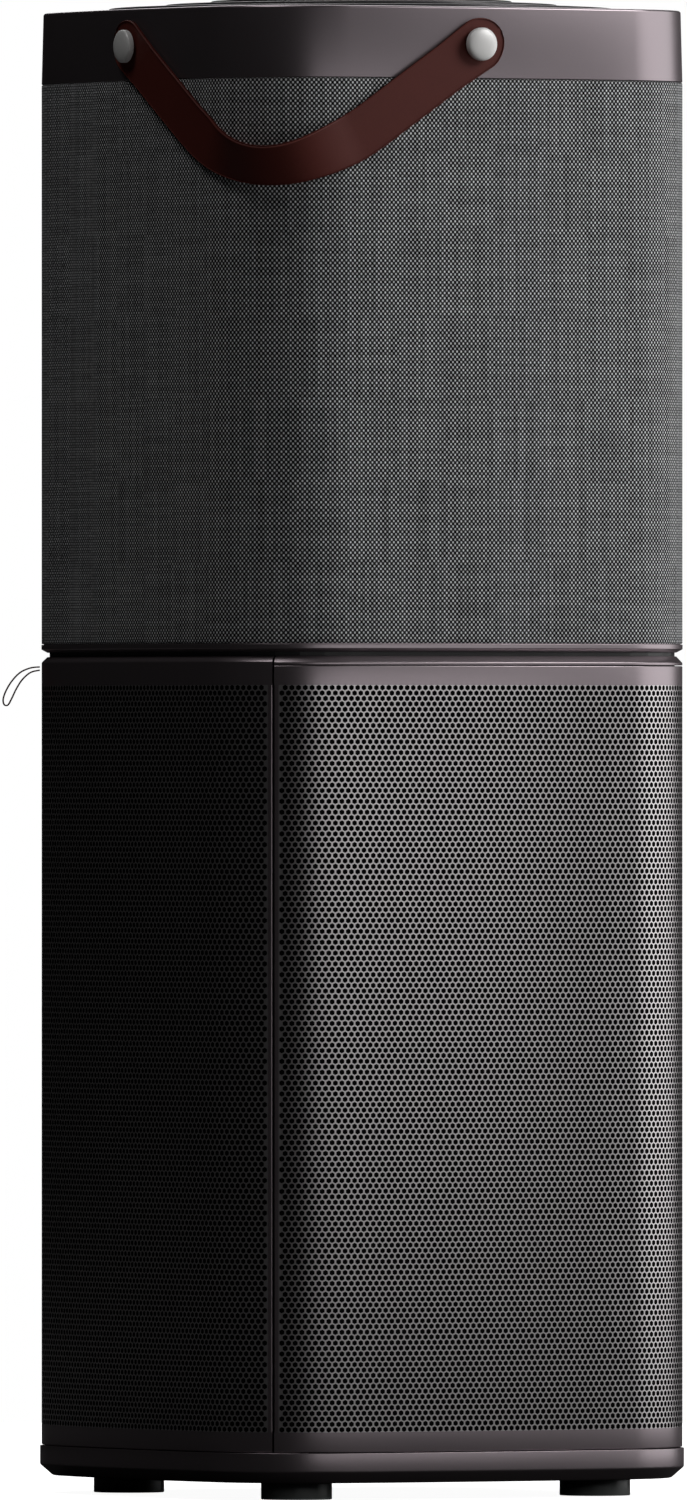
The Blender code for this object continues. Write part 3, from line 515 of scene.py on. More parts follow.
def perforatedTree():
    tree, take, end = geoTree(
        "perforatedSheet", Geometry=["Geometry"], Object=["Cell", "Filler", "Route"],
        Int=["First column", "Columns", "All columns", "Rows"], Float=["Pitch", "Row spacing", "First row"],
        Material=["Finish", "Hole finish"])
    calc, geo = partial(math2, tree), partial(geoNode, tree)
    index = geo("InputIndex")
    row = calc("MODULO", index, take["Rows"])
    columnHere = calc("ADD", calc("FLOOR", calc("DIVIDE", index, take["Rows"])), take["First column"])
    odd = calc("MODULO", row, 2.0)
    x = calc("MULTIPLY", calc("ADD", columnHere, calc("MULTIPLY_ADD", odd, 0.5, 0.5)), take["Pitch"])
    y = calc("ADD", calc("MULTIPLY", row, take["Row spacing"]), take["First row"])
    count = calc("MULTIPLY", take["Columns"], take["Rows"])
    points = geo("Points", {"Count": count, "Position": vector3(tree, x, y)})
    last = calc("SUBTRACT", take["All columns"], 1.5)
    spare = calc("MULTIPLY", odd, calc("GREATER_THAN", columnHere, last))
    cell, filler, route = [geo("ObjectInfo", {"Object": take[k]}, "Geometry") for k in ("Cell", "Filler", "Route")]
    holes = geo("InstanceOnPoints", {"Points": points, "Instance": cell, "Selection": calc("LESS_THAN", spare, 0.5)})
    joined = addNode(tree, "GeometryNodeJoinGeometry")
    after = calc("ADD", take["First column"], take["Columns"])
    lastX = calc("MULTIPLY", calc("SUBTRACT", take["All columns"], 0.25), take["Pitch"])
    ends = ((calc("MULTIPLY", take["Pitch"], 0.25), calc("LESS_THAN", take["First column"], 0.5)),
            (lastX, calc("GREATER_THAN", after, calc("SUBTRACT", take["All columns"], 0.5))))
    for place, wanted in ends:
        line = geo("Points", {"Count": take["Rows"], "Position": vector3(tree, place, y)})
        wanted = calc("GREATER_THAN", calc("MULTIPLY", odd, wanted), 0.5)
        plain = geo("InstanceOnPoints", {"Points": line, "Instance": filler, "Selection": wanted})
        tree.links.new(plain, joined.inputs[0])
    tree.links.new(holes, joined.inputs[0])
    whole = geo("RealizeInstances", {"Geometry": joined.outputs[0]})
    merged = geo("MergeByDistance", {"Geometry": whole, "Distance": 0.01 * mm})
    # the hole walls get the near-black finish: painted shade inside each hole
    facing = addNode(tree, "ShaderNodeSeparateXYZ", {0: geo("InputNormal")}).outputs["Z"]
    isWall = calc("LESS_THAN", calc("ABSOLUTE", facing), 0.5)
    painted = geo("SetMaterial", {"Geometry": merged, "Material": take["Finish"]})
    shadedWalls = geo("SetMaterial", {"Geometry": painted, "Material": take["Hole finish"], "Selection": isWall})
    # wraps the flat sheet round the column's plan
    here = addNode(tree, "ShaderNodeSeparateXYZ", {0: geo("InputPosition")}).outputs
    length = calc("MULTIPLY", take["All columns"], take["Pitch"])
    sample = addNode(tree, "GeometryNodeSampleCurve", {
        "Curves": route, "Factor": calc("DIVIDE", here["X"], length)}, mode="FACTOR", use_all_curves=True).outputs
    outward = vectorMath(tree, "CROSS_PRODUCT", sample["Tangent"], (0.0, 0.0, 1.0))
    lifted = addNode(tree, "ShaderNodeVectorMath", {0: outward, "Scale": here["Z"]}, operation="SCALE").outputs[0]
    raised = vectorMath(tree, "ADD", vectorMath(tree, "ADD", sample["Position"], lifted), vector3(tree, z=here["Y"]))
    soft = geo("SetShadeSmooth", {"Geometry": geo("SetPosition", {"Geometry": shadedWalls, "Position": raised})})
    creased = calc("GREATER_THAN", geo("InputMeshEdgeAngle", out="Unsigned Angle"), 0.6)
    crisp = geo("SetShadeSmooth", {"Geometry": soft, "Selection": creased, "Shade Smooth": False}, domain="EDGE")
    tree.links.new(crisp, end)
    return tree


def grow(name, tree, values):
    # runs a Geometry Nodes tree on an empty mesh and keeps the result as a plain mesh
    piece = bpy.data.objects.new(name, bpy.data.meshes.new(name))
    bpy.context.scene.collection.objects.link(piece)
    step = piece.modifiers.new("grow", "NODES")
    step.node_group = tree
    for socket in tree.interface.items_tree:
        if socket.item_type == "SOCKET" and socket.in_out == "INPUT" and socket.name in values:
            step[socket.identifier] = values[socket.name]
    graph = bpy.context.evaluated_depsgraph_get()
    made = bpy.data.meshes.new_from_object(piece.evaluated_get(graph), depsgraph=graph)
    piece.modifiers.clear()
    piece.data = made
    made.name = name
    return piece


def perforatedShell(side, body, node, start, end):
    look = perforation
    inset = math.degrees(look["margin"] / column["cornerRadius"])
    first, last = start + inset, end - inset
    angles = planAngles(first, last)
    helpers = routeCurve(side + "Route", angles), perforationCell(look), fillerCell(look)
    for helper in helpers:
        bpy.context.scene.collection.objects.link(helper)
    route, cell, filler = helpers
    length = lengthAlong(angles)
    columns = round(length / look["pitch"])
    tree = perforatedTree()
    for k in range(look["pieces"]):
        low, high = round(columns * k / look["pieces"]), round(columns * (k + 1) / look["pieces"])
        sheet = grow(f"{side}Sheet{k + 1}", tree, {
            "Cell": cell, "Filler": filler, "Route": route, "First column": low, "Columns": high - low,
            "All columns": columns, "Rows": look["rows"], "Pitch": look["pitch"], "Row spacing": look["rowSpacing"],
            "First row": look["firstRow"], "Finish": finishes["sheetPaint"], "Hole finish": finishes["darkLiner"]})
        carry(sheet, "body_paint", *([node] if k == 0 else []), body=body)
    for helper in helpers:
        bpy.data.objects.remove(helper)
    print(side, "sheet:", columns, "columns")
    return inset


borders = {
    "wall": 1.2 * mm, "edge": 0.45 * mm, "shadeSheetDepth": 1.5 * mm, "shadeSheetThick": 0.5 * mm, "shadeSheetShort": 1.0 * mm,
    "shadeSheetInset": 0.4, "rimChamfer": 3.0 * mm, "stripSteps": 6,
}


def shellBorders(side, body, start, end, inset, topProfile):
    # plain bands above and below the holes and a strip beside each seam
    look, sheet = borders, perforation
    low = sheet["firstRow"] - sheet["rowSpacing"] / 2
    high = low + sheet["rows"] * sheet["rowSpacing"]
    wall, edge = look["wall"], look["edge"]
    bottomProfile = filleted([(-wall, shellBottom, 0), (0, shellBottom, edge), (0, low, 0)])
    bands = {"LowerBand": bottomProfile + [(-wall, low)], "UpperBand": [(-wall, high), (0, high)] + topProfile}
    for name, line in bands.items():
        carry(swept(side + name, line, "taupePaint", start, end), "body_paint", body=body)
    names = ("RearStrip", "FrontStrip") if side == "door" else ("FrontStrip", "RearStrip")
    for name, a, b, seamFirst in zip(names, (start, end - inset), (start + inset, end), (True, False)):
        angles = [a + (b - a) * i / look["stripSteps"] for i in range(look["stripSteps"] + 1)]
        sections = []
        for z in (low, high):
            line = []
            for angle in angles:
                nearSeam = (angle - a if seamFirst else b - angle) * math.radians(1) * column["cornerRadius"]
                inward = max(edge - nearSeam, 0.0)
                drop = edge - math.sqrt(max(edge ** 2 - inward ** 2, 0.0))
                line.append((*planPoint(angle, -drop).xy, z))
            line += [(*planPoint(angle, -wall).xy, z) for angle in angles[::-1]]
            sections.append(line)
        carry(skin(side + name, sections, "taupePaint"), "body_paint", body=body)
    # a near-black sheet just behind the holes: painted shade seen through them
    depth, inner = look["shadeSheetDepth"], look["shadeSheetDepth"] + look["shadeSheetThick"]
    low, high = shellBottom + look["shadeSheetShort"], shellTop - look["shadeSheetShort"]
    shadeSheet = swept(side + "Liner", [(-depth, low), (-depth, high), (-inner, high), (-inner, low)],
                  "darkLiner", start + look["shadeSheetInset"], end - look["shadeSheetInset"])
    carry(shadeSheet, "black_plastic", body=body)


rimBottom, rimTop = bottom("front_rim"), top("front_rim")
shellEdge = filleted([
    (0, shellTop - 4 * mm, 0), (0, shellTop, borders["edge"]), (-borders["wall"], shellTop, 0)])[1:]
frontEnds = frontSeam + seamGap, rearSeam + 360 - seamGap
inset = perforatedShell("front", "cabinet", "front_shell", *frontEnds)
shellBorders("front", "cabinet", *frontEnds, inset, shellEdge)
doorEdge = filleted([
    (0, shellTop - 4 * mm, 0), (0, rimBottom + 1.6 * mm, 1.6 * mm), (-borders["rimChamfer"], rimTop, 0.3 * mm),
    (-borders["rimChamfer"] - 0.8 * mm, rimTop - 1.2 * mm, 0)], 5)[1:]
doorEdge.append((-borders["wall"], rimBottom))
doorEnds = rearSeam + seamGap, frontSeam - seamGap
perforatedShell("door", "door", "door_shell", *doorEnds)
shellBorders("door", "door", *doorEnds, inset, doorEdge)
print("lower shells ready")

rim = {"root": 3.4 * mm, "face": 1.2 * mm, "chamfer": 3.0 * mm, "back": 3.5 * mm, "edge": 0.25 * mm, "round": 0.6 * mm}
rimLine = filleted([
    (-rim["root"], rimBottom, 0), (0, rimBottom, rim["edge"]), (0, rimBottom + rim["face"], rim["round"]),
    (-rim["chamfer"], rimTop, 0.3 * mm), (-rim["back"], rimTop, 0)])
carry(swept("frontRim", rimLine, "taupePaint", *frontEnds), "painted_plastic", "front_rim")

base = {
    "flare": 0.8 * mm, "wall": 2.4 * mm, "chamferIn": 6.3 * mm, "chamferTop": 14.0 * mm, "floor": 12.0 * mm,
    "bare": 40 * mm, "seatTop": 24.0 * mm, "seatInner": 84 * mm, "seatOuter": 100 * mm, "plate": 104 * mm,
    "notchRoom": 0.6 * mm,
}


def baseTray():
    flare, low, high = base["flare"], bottom("base_tray"), shellBottom - 0.5 * mm
    chamfer, middle = flare - base["chamferIn"], flare - base["bare"]
    outside = filleted([(middle, low, 0), (chamfer, low, 2.6 * mm), (flare, base["chamferTop"], 1.4 * mm),
                        (flare, high, 0.2 * mm), (flare - base["wall"], high, 0)])
    inside = [(flare - base["wall"], base["chamferTop"]), (chamfer - 1.5 * mm, base["floor"]), (middle, base["floor"])]
    tray = swept("baseTray", outside + inside, "taupePaint")
    room = Vector([base["notchRoom"]] * 3)
    low, high = (corner + side * room for corner, side in zip(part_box("power_inlet"), (-1, 1)))
    back, front = low.x - 1.4 * mm, high.x + 8.4 * mm
    outline = (back, low.y), (front, low.y), (front, high.y), (back, high.y)
    notch = skin("notch", [[(*corner, z) for corner in outline] for z in (low.z, high.z)], "taupePaint")
    cutWith(tray, notch)
    carry(tray, "painted_plastic", "base_tray")
    low, floorTop, seatTop = bottom("base_tray") + 0.4 * mm, base["floor"], base["seatTop"]
    inner, outer, plate = base["seatInner"], base["seatOuter"], base["plate"]
    line = [(0.5 * mm, low), (plate, low), (plate, floorTop), (outer, floorTop), (outer, seatTop), (inner, seatTop),
            (inner, floorTop), (0.5 * mm, floorTop)]
    carry(turned("trayFloor", line, "blackMould", 96), "black_plastic")


baseTray()

foot = {"radius": 17.3 * mm, "height": 8.1 * mm, "edge": 0.5 * mm, "steps": 64}


def feet():
    for side in ("front", "left", "right", "rear"):
        low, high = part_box("foot_" + side)
        centre = (low + high) / 2
        line = filleted([(2 * mm, 0.5 * mm, 0), (13 * mm, 0.0, 0.8 * mm), (foot["radius"], 0.0, foot["edge"]),
                         (foot["radius"], foot["height"], 0.3 * mm), (2 * mm, foot["height"], 0)])
        made = turned(side + "Foot", line, "footRubber", foot["steps"], centre.xy)
        carry(made, "rubber", "foot_" + side)


feet()
print("base and feet ready")


# upper section
fabricLow, fabricHigh = bottom("fabric_cover"), top("fabric_cover")
trimLow, trimHigh = bottom("lower_trim"), top("lower_trim")
trimLine = filleted([
    (-3.4 * mm, trimLow, 0), (-2.9 * mm, trimLow, 0.2 * mm), (0.1 * mm, trimLow + 1.6 * mm, 0.5 * mm),
    (0.1 * mm, trimHigh, 0.2 * mm), (-1.0 * mm, trimHigh, 0), (-1.0 * mm, trimHigh + 1.2 * mm, 0),
    (-1.25 * mm, trimHigh + 1.2 * mm, 0), (-1.25 * mm, trimHigh - 1 * mm, 0), (-3.4 * mm, trimHigh - 1 * mm, 0)])
carry(swept("lowerTrim", trimLine, "taupePaint"), "painted_plastic", "lower_trim")

cover = {"thick": 0.9 * mm, "roll": 0.5 * mm, "rows": 24}


def fabricCover():
    # the cover rolls in at both ends, under the trim and the lid
    thick, roll, rows = cover["thick"], cover["roll"], cover["rows"]
    outer = [(-thick, fabricLow, 0), (0, fabricLow, roll)]
    outer += [(0, fabricLow + (fabricHigh - fabricLow) * i / rows, 0) for i in range(1, rows)]
    outer = filleted(outer + [(0, fabricHigh, roll), (-thick, fabricHigh, 0)], 3)
    made = swept("fabricCover", outer, "melangeCloth")
    carry(made, "fabric", "fabric_cover")
    flat = lengthAlong(planAngles(0, 360)), fabricHigh - fabricLow


fabricCover()

lid = {"taper": 0.9 * mm, "edge": 1.2 * mm, "opening": 124.6 * mm, "wall": 3.0 * mm}


def lidBand():
    low, high = bottom("lid"), top("lid")
    taper, opening = lid["taper"], lid["opening"]
    line = filleted([(-lid["wall"], low, 0), (0, low, 0.3 * mm), (-taper, high, lid["edge"]), (-6 * mm, high, 0)], 6)
    inner = [(opening + 0.6 * mm, high, True), (opening, high - 0.6 * mm, True), (opening, high - 3 * mm, True),
             (-taper - 3.4 * mm, high - 3 * mm)]
    carry(swept("lidBand", line + inner, "taupePaint"), "painted_plastic", "lid")


lidBand()
print("upper section ready")


# outlet
outlet = {
    "edge": 0.9 * mm, "rings": ("outlet_ring_1", "outlet_ring_2", "outlet_ring_3"), "widths": (7.0, 6.0, 6.0),
    "finCount": 48, "finThick": 1.2 * mm, "finTall": 5.0 * mm, "finLong": 51 * mm, "finCircle": 94 * mm,
    "finTaper": 0.6, "rimInner": 117.4 * mm, "hub": 70.6 * mm,
}


def outletRings():
    for i, node in enumerate(outlet["rings"]):
        low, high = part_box(node)
        outer, inner, edge = high.x, high.x - outlet["widths"][i] * mm, outlet["edge"]
        line = filleted([
            (inner, low.z + 1 * mm, 0), (inner + 0.4 * mm, low.z, 0.3 * mm), (outer - 1.2 * mm, low.z, 0.3 * mm),
            (outer, high.z - 4 * mm, 0.2 * mm), (outer, high.z, edge), (inner, high.z, edge * 0.7),
            (inner, low.z + 1 * mm, 0)])[:-1]
        carry(turned(f"outletRing{i + 1}", line, "graphiteRing", 160), "black_plastic", node)


def radialTree():
    tree, take, end = geoTree("radialFins", Geometry=["Geometry"], Object=["Blank"], Int=["Count"],
                              Float=["Radius", "Height"], Material=["Finish"])
    calc, geo = partial(math2, tree), partial(geoNode, tree)
    turn = calc("MULTIPLY", calc("DIVIDE", geo("InputIndex"), take["Count"]), 2 * math.pi)
    x, y = [calc("MULTIPLY", calc(wave, turn), take["Radius"]) for wave in ("COSINE", "SINE")]
    points = geo("Points", {"Count": take["Count"], "Position": vector3(tree, x, y, take["Height"])})
    blank = geo("ObjectInfo", {"Object": take["Blank"]}, "Geometry")
    fins = geo("InstanceOnPoints", {"Points": points, "Instance": blank, "Rotation": vector3(tree, z=turn)})
    whole = geo("RealizeInstances", {"Geometry": fins})
    tree.links.new(geo("SetMaterial", {"Geometry": whole, "Material": take["Finish"]}), end)
    return tree


radialFins = radialTree()


def finBlank(length, thick, tall, taper):
    # upright fin along X, thinner at its top
    half = length / 2
    low = [(-half, -thick / 2), (half, -thick / 2), (half, thick / 2), (-half, thick / 2)]
    sections = [[(x, y, -tall / 2) for x, y in low], [(x, y, tall * 0.3) for x, y in low],
                [(x, y * taper, tall / 2) for x, y in low]]
    return skin("finBlank", sections, "blackMould")


def outletSpider():
    low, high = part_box("outlet_spider")
    tall = outlet["finTall"]
    blank = finBlank(outlet["finLong"], outlet["finThick"], tall, outlet["finTaper"])
    fins = grow("outletFins", radialFins, {
        "Blank": blank, "Count": outlet["finCount"], "Radius": outlet["finCircle"],
        "Height": high.z - tall / 2 - 0.2 * mm, "Finish": finishes["blackMould"]})
    bpy.data.objects.remove(blank)
    carry(fins, "black_plastic")
    inner, hub, lower, upper = outlet["rimInner"], outlet["hub"], high.z - 2.4 * mm, high.z - 0.3 * mm
    line = filleted([(inner, low.z, 0), (high.x, low.z, 0.4 * mm), (high.x, high.z, 0.6 * mm), (inner, high.z, 0)])
    carry(turned("outletRim", line, "blackMould", 128), "black_plastic", "outlet_spider")
    line = [(0.5 * mm, lower), (hub, lower), (hub, upper), (0.5 * mm, upper)]
    carry(turned("outletHub", line, "blackMould", 96), "black_plastic")


panel = {
    "edge": 1.1 * mm, "bezelInner": 66.1 * mm, "ringInner": 62.6 * mm,
    "dotCount": 8, "dotRadius": 0.9 * mm, "dotCircle": 46.0 * mm,
}


def touchPanel():
    low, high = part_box("panel_bezel")
    inner = panel["bezelInner"]
    line = filleted([(inner, low.z, 0), (high.x - 3.2 * mm, low.z, 0.6 * mm), (high.x, high.z - 3 * mm, 1.0 * mm),
                     (high.x, high.z, panel["edge"]), (inner, high.z, 0.5 * mm), (inner, low.z, 0)], 5)[:-1]
    carry(turned("panelBezel", line, "graphiteRing", 160), "painted_plastic", "panel_bezel")
    low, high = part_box("light_ring")
    inner = panel["ringInner"]
    line = filleted([(inner, low.z, 0), (high.x, low.z, 0.2 * mm), (high.x, high.z, 0.6 * mm),
                     (inner, high.z, 0.6 * mm), (inner, low.z, 0)])[:-1]
    carry(turned("lightRing", line, "frostedRing", 160), "diffuser", "light_ring")
    low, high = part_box("touch_glass")
    line = [(high.x, low.z), (high.x, high.z - 0.5 * mm), (high.x - 0.5 * mm, high.z), (1 * mm, high.z)]
    carry(dome("touchGlass", line, "touchGlass", 128), "glass", "touch_glass")
    blank = dome("dotBlank", [(panel["dotRadius"], 0), (panel["dotRadius"] * 0.8, 0.12 * mm), (0.1 * mm, 0.16 * mm)],
                 "frostedRing", 16)
    dots = grow("panelDots", radialFins, {
        "Blank": blank, "Count": panel["dotCount"], "Radius": panel["dotCircle"], "Height": high.z,
        "Finish": finishes["frostedRing"]})
    bpy.data.objects.remove(blank)
    carry(dots, "diffuser")


outletRings()
outletSpider()
touchPanel()
print("outlet ready")


# carrying strap
strap = {
    "width": 24.2 * mm, "thick": 2.2 * mm, "standOff": 9.5 * mm, "tilt": 41.0, "reach": 89.0 * mm, "slope": 0.919,
    "bend": 48.0 * mm, "studHeight": 707.8 * mm, "endRadius": 13.0 * mm, "round": 0.6 * mm, "steps": 72,
    "spread": 46.6, "samples": 3000, "capLength": 0.61, "capSteps": 12, "capBlend": 12 * mm, "tip": 1.4 * mm,
}


def strapHeight(reach):
    valley = strap["studHeight"] - strap["slope"] * strap["reach"]
    reach, bend = abs(reach), strap["bend"]
    if reach > bend:
        return valley + strap["slope"] * reach
    return valley + strap["slope"] * (bend ** 2 + reach ** 2) / (2 * bend)


def strapPoint(angle):
    share = max(0.0, 1.0 - (abs(angle - frontSeam) / 45.0) ** 2) ** 2
    point = planPoint(angle, strap["thick"] / 2 + 0.4 * mm + strap["standOff"] * share)
    reach = point.dot(around(frontSeam + 90, 1.0))
    point.z = strapHeight(reach)
    return point, around(angle, 1.0), reach, share


def strapPiece():
    end, radius = strap["reach"], strap["endRadius"]
    samples, capSteps = strap["samples"], strap["capSteps"]
    angles = [frontSeam + strap["spread"] * (i / samples - 1) for i in range(2 * samples + 1)]
    dense = [(*strapPoint(angle), angle) for angle in angles]
    cap = radius * strap["capLength"]  # the rounded end's length, measured along the line between the studs
    stations = [-end - cap * math.cos(math.radians(90) * k / capSteps) for k in range(capSteps)]
    stations += [-end + 2 * end * k / strap["steps"] for k in range(strap["steps"] + 1)]
    stations += [-s for s in stations[:capSteps]][::-1]
    turns = [math.radians(a) for a in (0, 30, 60, 90)]
    rounding = [(strap["round"] * (1 - math.sin(a)), strap["round"] * (1 - math.cos(a))) for a in turns]
    sections = []
    for reach in stations:
        point, normal, _, share, angle = min(dense, key=lambda place: abs(place[2] - reach))
        along = (strapPoint(angle + 0.2)[0] - strapPoint(angle - 0.2)[0]).normalized()
        tilt = math.radians(strap["tilt"]) * share
        up = along.cross(normal).normalized()
        up = up if up.z > 0 else -up
        wide = up * math.cos(tilt) + normal * math.sin(tilt)
        thick = normal * math.cos(tilt) - up * math.sin(tilt)
        beyond = max(abs(reach) - end, 0.0) / cap
        half = strap["width"] / 2
        bulge = max(0.0, 1.0 - abs(abs(reach) - end) / strap["capBlend"]) * (radius - half)
        half = max((half + bulge) * math.sqrt(max(1 - beyond ** 2, 0.0)), strap["tip"])
        section = []
        for w, t in ((-1, -1), (1, -1), (1, 1), (-1, 1)):
            for dw, dt in rounding if w * t > 0 else rounding[::-1]:
                section.append(point + wide * w * (half - dw) + thick * t * (strap["thick"] / 2 - dt))
        sections.append(section)
    piece = skin("carryStrap", sections, "strapLeather", sharp=60)
    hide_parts("strap_loop", "strap_end_left", "strap_end_right")
    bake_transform(piece)


stud = {"radius": 8.05 * mm, "crown": 4.5 * mm, "skirt": 2.3 * mm, "steps": 64}


def studs():
    face = -planPoint(270).y
    for side, facing in (("right", Vector((0, -1, 0))), ("left", Vector((-1, 0, 0)))):
        low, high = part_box("stud_" + side)
        centre = (low + high) / 2
        place = Vector((centre.x, -face, centre.z)) if side == "right" else Vector((-face, centre.y, centre.z))
        levels = [(2.2 * mm, -4.6 * mm), (2.2 * mm, 3.0 * mm), (stud["radius"] - 0.3 * mm, 3.0 * mm),
                  (stud["radius"], 3.3 * mm), (stud["radius"], 3.0 * mm + stud["skirt"])]
        for k in range(1, 10):
            a = math.radians(90) * k / 9.3
            rise = (stud["crown"] - stud["skirt"]) * math.sin(a)
            levels.append((stud["radius"] * math.cos(a), 3.0 * mm + stud["skirt"] + rise))
        made = dome(side + "Stud", levels, "satinStud", stud["steps"])
        turn = facing.to_track_quat("Z", "Y").to_matrix().to_4x4()
        turn.translation = place
        made.data.transform(turn)  # the object itself stays at the origin
        carry(made, "satin_metal", "stud_" + side)


strapPiece()
studs()

tab = {
    "angle": 150.5, "width": 11.0 * mm, "thick": 0.7 * mm, "round": 0.2 * mm, "root": 404.9 * mm, "steps": 5,
    # out from the wall and up from the root, in millimetres
    "line": ((0.9, 0.5), (5.5, 0.0), (10.5, -2.2), (14.6, -6.4), (17.6, -11.4), (18.9, -15.4), (18.4, -18.0),
             (16.6, -18.2), (14.8, -15.2), (12.4, -10.2), (9.4, -5.6), (5.4, -2.2), (0.9, -1.1)),
}


def pullTab():
    outward, across = around(tab["angle"], 1.0), around(tab["angle"] + 90, 1.0)
    points = [Vector(p) for p in tab["line"]]
    smooth = []
    for i in range(len(points) - 1):
        a, b, c, d = points[max(i - 1, 0)], points[i], points[i + 1], points[min(i + 2, len(points) - 1)]
        for k in range(tab["steps"]):
            t = k / tab["steps"]
            bend, twist = 2 * a - 5 * b + 4 * c - d, 3 * b - a - 3 * c + d
            smooth.append(0.5 * (2 * b + (c - a) * t + bend * t * t + twist * t ** 3))
    smooth.append(points[-1])
    sections = []
    halfW, halfT, r = tab["width"] / 2, tab["thick"] / 2, tab["round"]
    for i, p in enumerate(smooth):
        along = (smooth[min(i + 1, len(smooth) - 1)] - smooth[max(i - 1, 0)]).normalized()
        normal = outward * -along.y + Vector((0, 0, along.x))
        middle = planPoint(tab["angle"], p.x * mm) + Vector((0, 0, tab["root"] + p.y * mm))
        section = []
        for w, t in ((-1, -1), (1, -1), (1, 1), (-1, 1)):
            for dw, dt in (((0, 1), (1, 0)) if w * t > 0 else ((1, 0), (0, 1))):
                section.append(middle + across * w * (halfW - dw * r) + normal * t * (halfT - dt * r))
        sections.append(section)
    carry(skin("pullTab", sections, "strapLeather", sharp=50), "leather", "pull_tab", body="tab")


pullTab()
print("strap, studs and tab ready")


# filter
pleats = {"count": 150, "inner": 65 * mm, "outer": 104 * mm, "thick": 0.5 * mm}


def pleatTree():
    tree, take, result = geoTree("pleatedRing", Geometry=["Geometry"], Int=["Count"],
                                 Float=["Inner", "Outer", "Bottom", "Top", "Thickness"], Material=["Finish"])
    geo = partial(geoNode, tree)
    star = geo("CurveStar", {"Points": take["Count"], "Inner Radius": take["Inner"], "Outer Radius": take["Outer"]})
    # the swept profile's own Y axis points down
    start, end = [vector3(tree, y=math2(tree, "MULTIPLY", take[height], -1.0)) for height in ("Top", "Bottom")]
    rise = geo("CurvePrimitiveLine", {"Start": start, "End": end})
    wall = geo("CurveToMesh", {"Curve": star, "Profile Curve": rise})
    joined = addNode(tree, "GeometryNodeJoinGeometry")
    thickened = geo("ExtrudeMesh", {"Mesh": wall, "Offset Scale": take["Thickness"], "Individual": False})
    for side in (thickened, geo("FlipFaces", {"Mesh": wall})):
        tree.links.new(side, joined.inputs[0])
    merged = geo("MergeByDistance", {"Geometry": joined.outputs[0], "Distance": 0.01 * mm})
    whole = geo("RealizeInstances", {"Geometry": merged})
    tree.links.new(geo("SetMaterial", {"Geometry": whole, "Material": take["Finish"]}), result)
    return tree


def filterPleats():
    low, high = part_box("filter_pleats")
    made = grow("filterPleats", pleatTree(), {
        "Count": pleats["count"], "Inner": pleats["inner"], "Outer": pleats["outer"], "Bottom": low.z, "Top": high.z,
        "Thickness": pleats["thick"], "Finish": finishes["filterPaper"]})
    carry(made, "filter_media", "filter_pleats", body="filter")


filterPleats()
print("filter ready")


# stage, light and camera
studio = {
    "azimuth": 29.5,  # degrees that the camera stands to the left of the front face's middle
    "height": 364.6 * mm, "sideways": -8.8 * mm, "lens": 740.0, "frameTall": 735.5 * mm, "sensor": 36.0,
    "worldGlow": 0.002, "floorRadius": 1.6, "floorGlow": 0.96, "floorDark": 0.4, "floorPale": 0.9,
}
lights = {
    # bearing in degrees to the right of the camera's line, height, distance, width and depth, power, aim
    "rightWall": (104, 0.45, 2.4, (2.4, 2.4), 28.0, 0.37),  # a level wall of light gives the paint its sheen
    "frontPanel": (35, 0.38, 1.7, (2.0, 0.4), 3.1, 0.4),
    # these stand high, where upright paint hardly reflects them
    "keySoftbox": (74, 1.9, 2.1, (1.0, 1.0), 28.0, 0.45),
    "leftSoftbox": (-52, 3.2, 1.5, (1.2, 1.2), 15.0, 0.5),
    "rearSoftbox": (180, 2.4, 2.2, (1.6, 1.6), 30.0, 0.37),
}
turnBack = math.radians(studio["azimuth"])
toCamera = Vector((-math.sin(turnBack), -math.cos(turnBack), 0))
toRight = Vector((math.cos(turnBack), -math.sin(turnBack), 0))


def softbox(name, bearing, height, distance, size, power, aim):
    turn = math.radians(bearing)
    light = bpy.data.lights.new(name, "AREA")
    light.shape, light.size, light.size_y, light.energy = "RECTANGLE", size[0], size[1], power
    lamp = bpy.data.objects.new(name, light)
    lamp.location = (toCamera * math.cos(turn) + toRight * math.sin(turn)) * distance + Vector((0, 0, height))
    lamp.rotation_euler = (Vector((0, 0, aim)) - lamp.location).to_track_quat("-Z", "Y").to_euler()
    lamp.visible_camera = False
    bpy.context.scene.collection.objects.link(lamp)


for name, values in lights.items():
    softbox(name, *values)

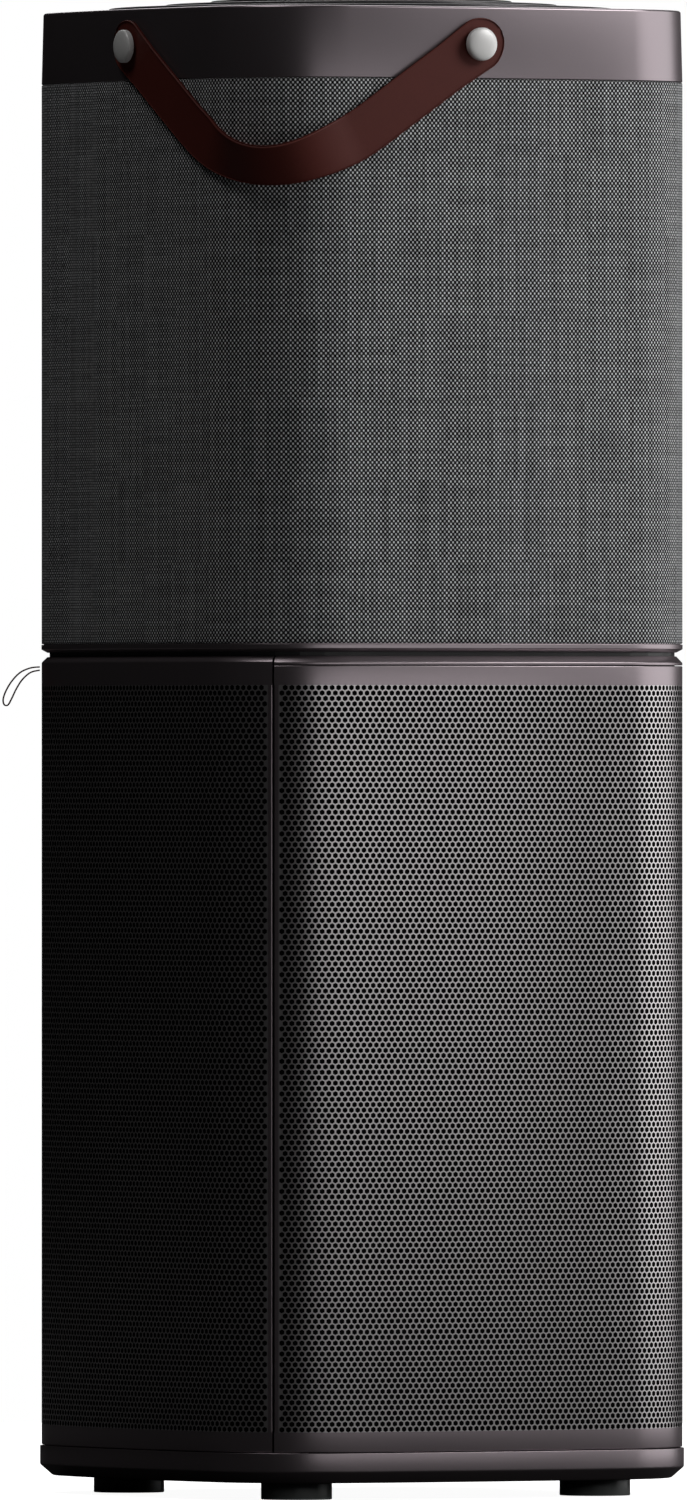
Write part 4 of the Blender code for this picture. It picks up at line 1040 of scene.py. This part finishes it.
world = bpy.data.worlds.new("studioWorld")
world.use_nodes = True
bpy.context.scene.world = world
sky = world.node_tree
seen = addNode(sky, "ShaderNodeLightPath").outputs["Is Camera Ray"]
level = addNode(sky, "ShaderNodeMapRange", {"Value": seen, "To Min": studio["worldGlow"], "To Max": 1.0})
fill(sky, sky.nodes["Background"], {"Color": (1.0, 1.0, 1.0, 1.0), "Strength": level.outputs[0]})


def studioFloor():
    mesh = bmesh.new()
    bmesh.ops.create_circle(mesh, cap_ends=True, segments=96, radius=studio["floorRadius"])
    tree, shader = newMaterial("paleFloor")
    fill(tree, shader, {"Base Color": (0.8, 0.8, 0.8, 1.0), "Roughness": 0.9})
    glow = addNode(tree, "ShaderNodeEmission", {"Strength": studio["floorGlow"]})
    both = addNode(tree, "ShaderNodeAddShader", {0: shader.outputs[0], 1: glow.outputs[0]})
    # bounced light comes only from the floor further out, so the foot of the column stays dark
    where = addNode(tree, "ShaderNodeTexCoord").outputs["Object"]
    reach = addNode(tree, "ShaderNodeVectorMath", {0: where}, operation="LENGTH").outputs["Value"]
    spread = addNode(tree, "ShaderNodeMapRange", {
        "Value": reach, "From Min": studio["floorDark"], "From Max": studio["floorPale"], "To Min": 0.02,
        "To Max": 0.11})
    dim = addNode(tree, "ShaderNodeBsdfDiffuse", {"Color": spread.outputs[0]})
    seen = addNode(tree, "ShaderNodeLightPath").outputs["Is Camera Ray"]
    mixed = addNode(tree, "ShaderNodeMixShader", {0: seen, 1: dim.outputs[0], 2: both.outputs[0]})
    fill(tree, tree.nodes["Material Output"], {"Surface": mixed.outputs[0]})
    newObject("studioFloor", mesh, "paleFloor")


studioFloor()

camera = bpy.data.cameras.new("studioCamera")
camera.lens, camera.sensor_width = studio["lens"], studio["sensor"]
distance = studio["lens"] / studio["sensor"] * studio["frameTall"]
camera.clip_start, camera.clip_end = 0.5, distance * 6
viewer = bpy.data.objects.new("studioCamera", camera)
bpy.context.scene.collection.objects.link(viewer)
viewer.location = toCamera * distance + toRight * studio["sideways"] + Vector((0, 0, studio["height"]))
viewer.rotation_euler = (-toCamera).to_track_quat("-Z", "Y").to_euler()
bpy.context.scene.camera = viewer
bpy.context.scene.view_settings.view_transform = "Standard"
print("studio ready")
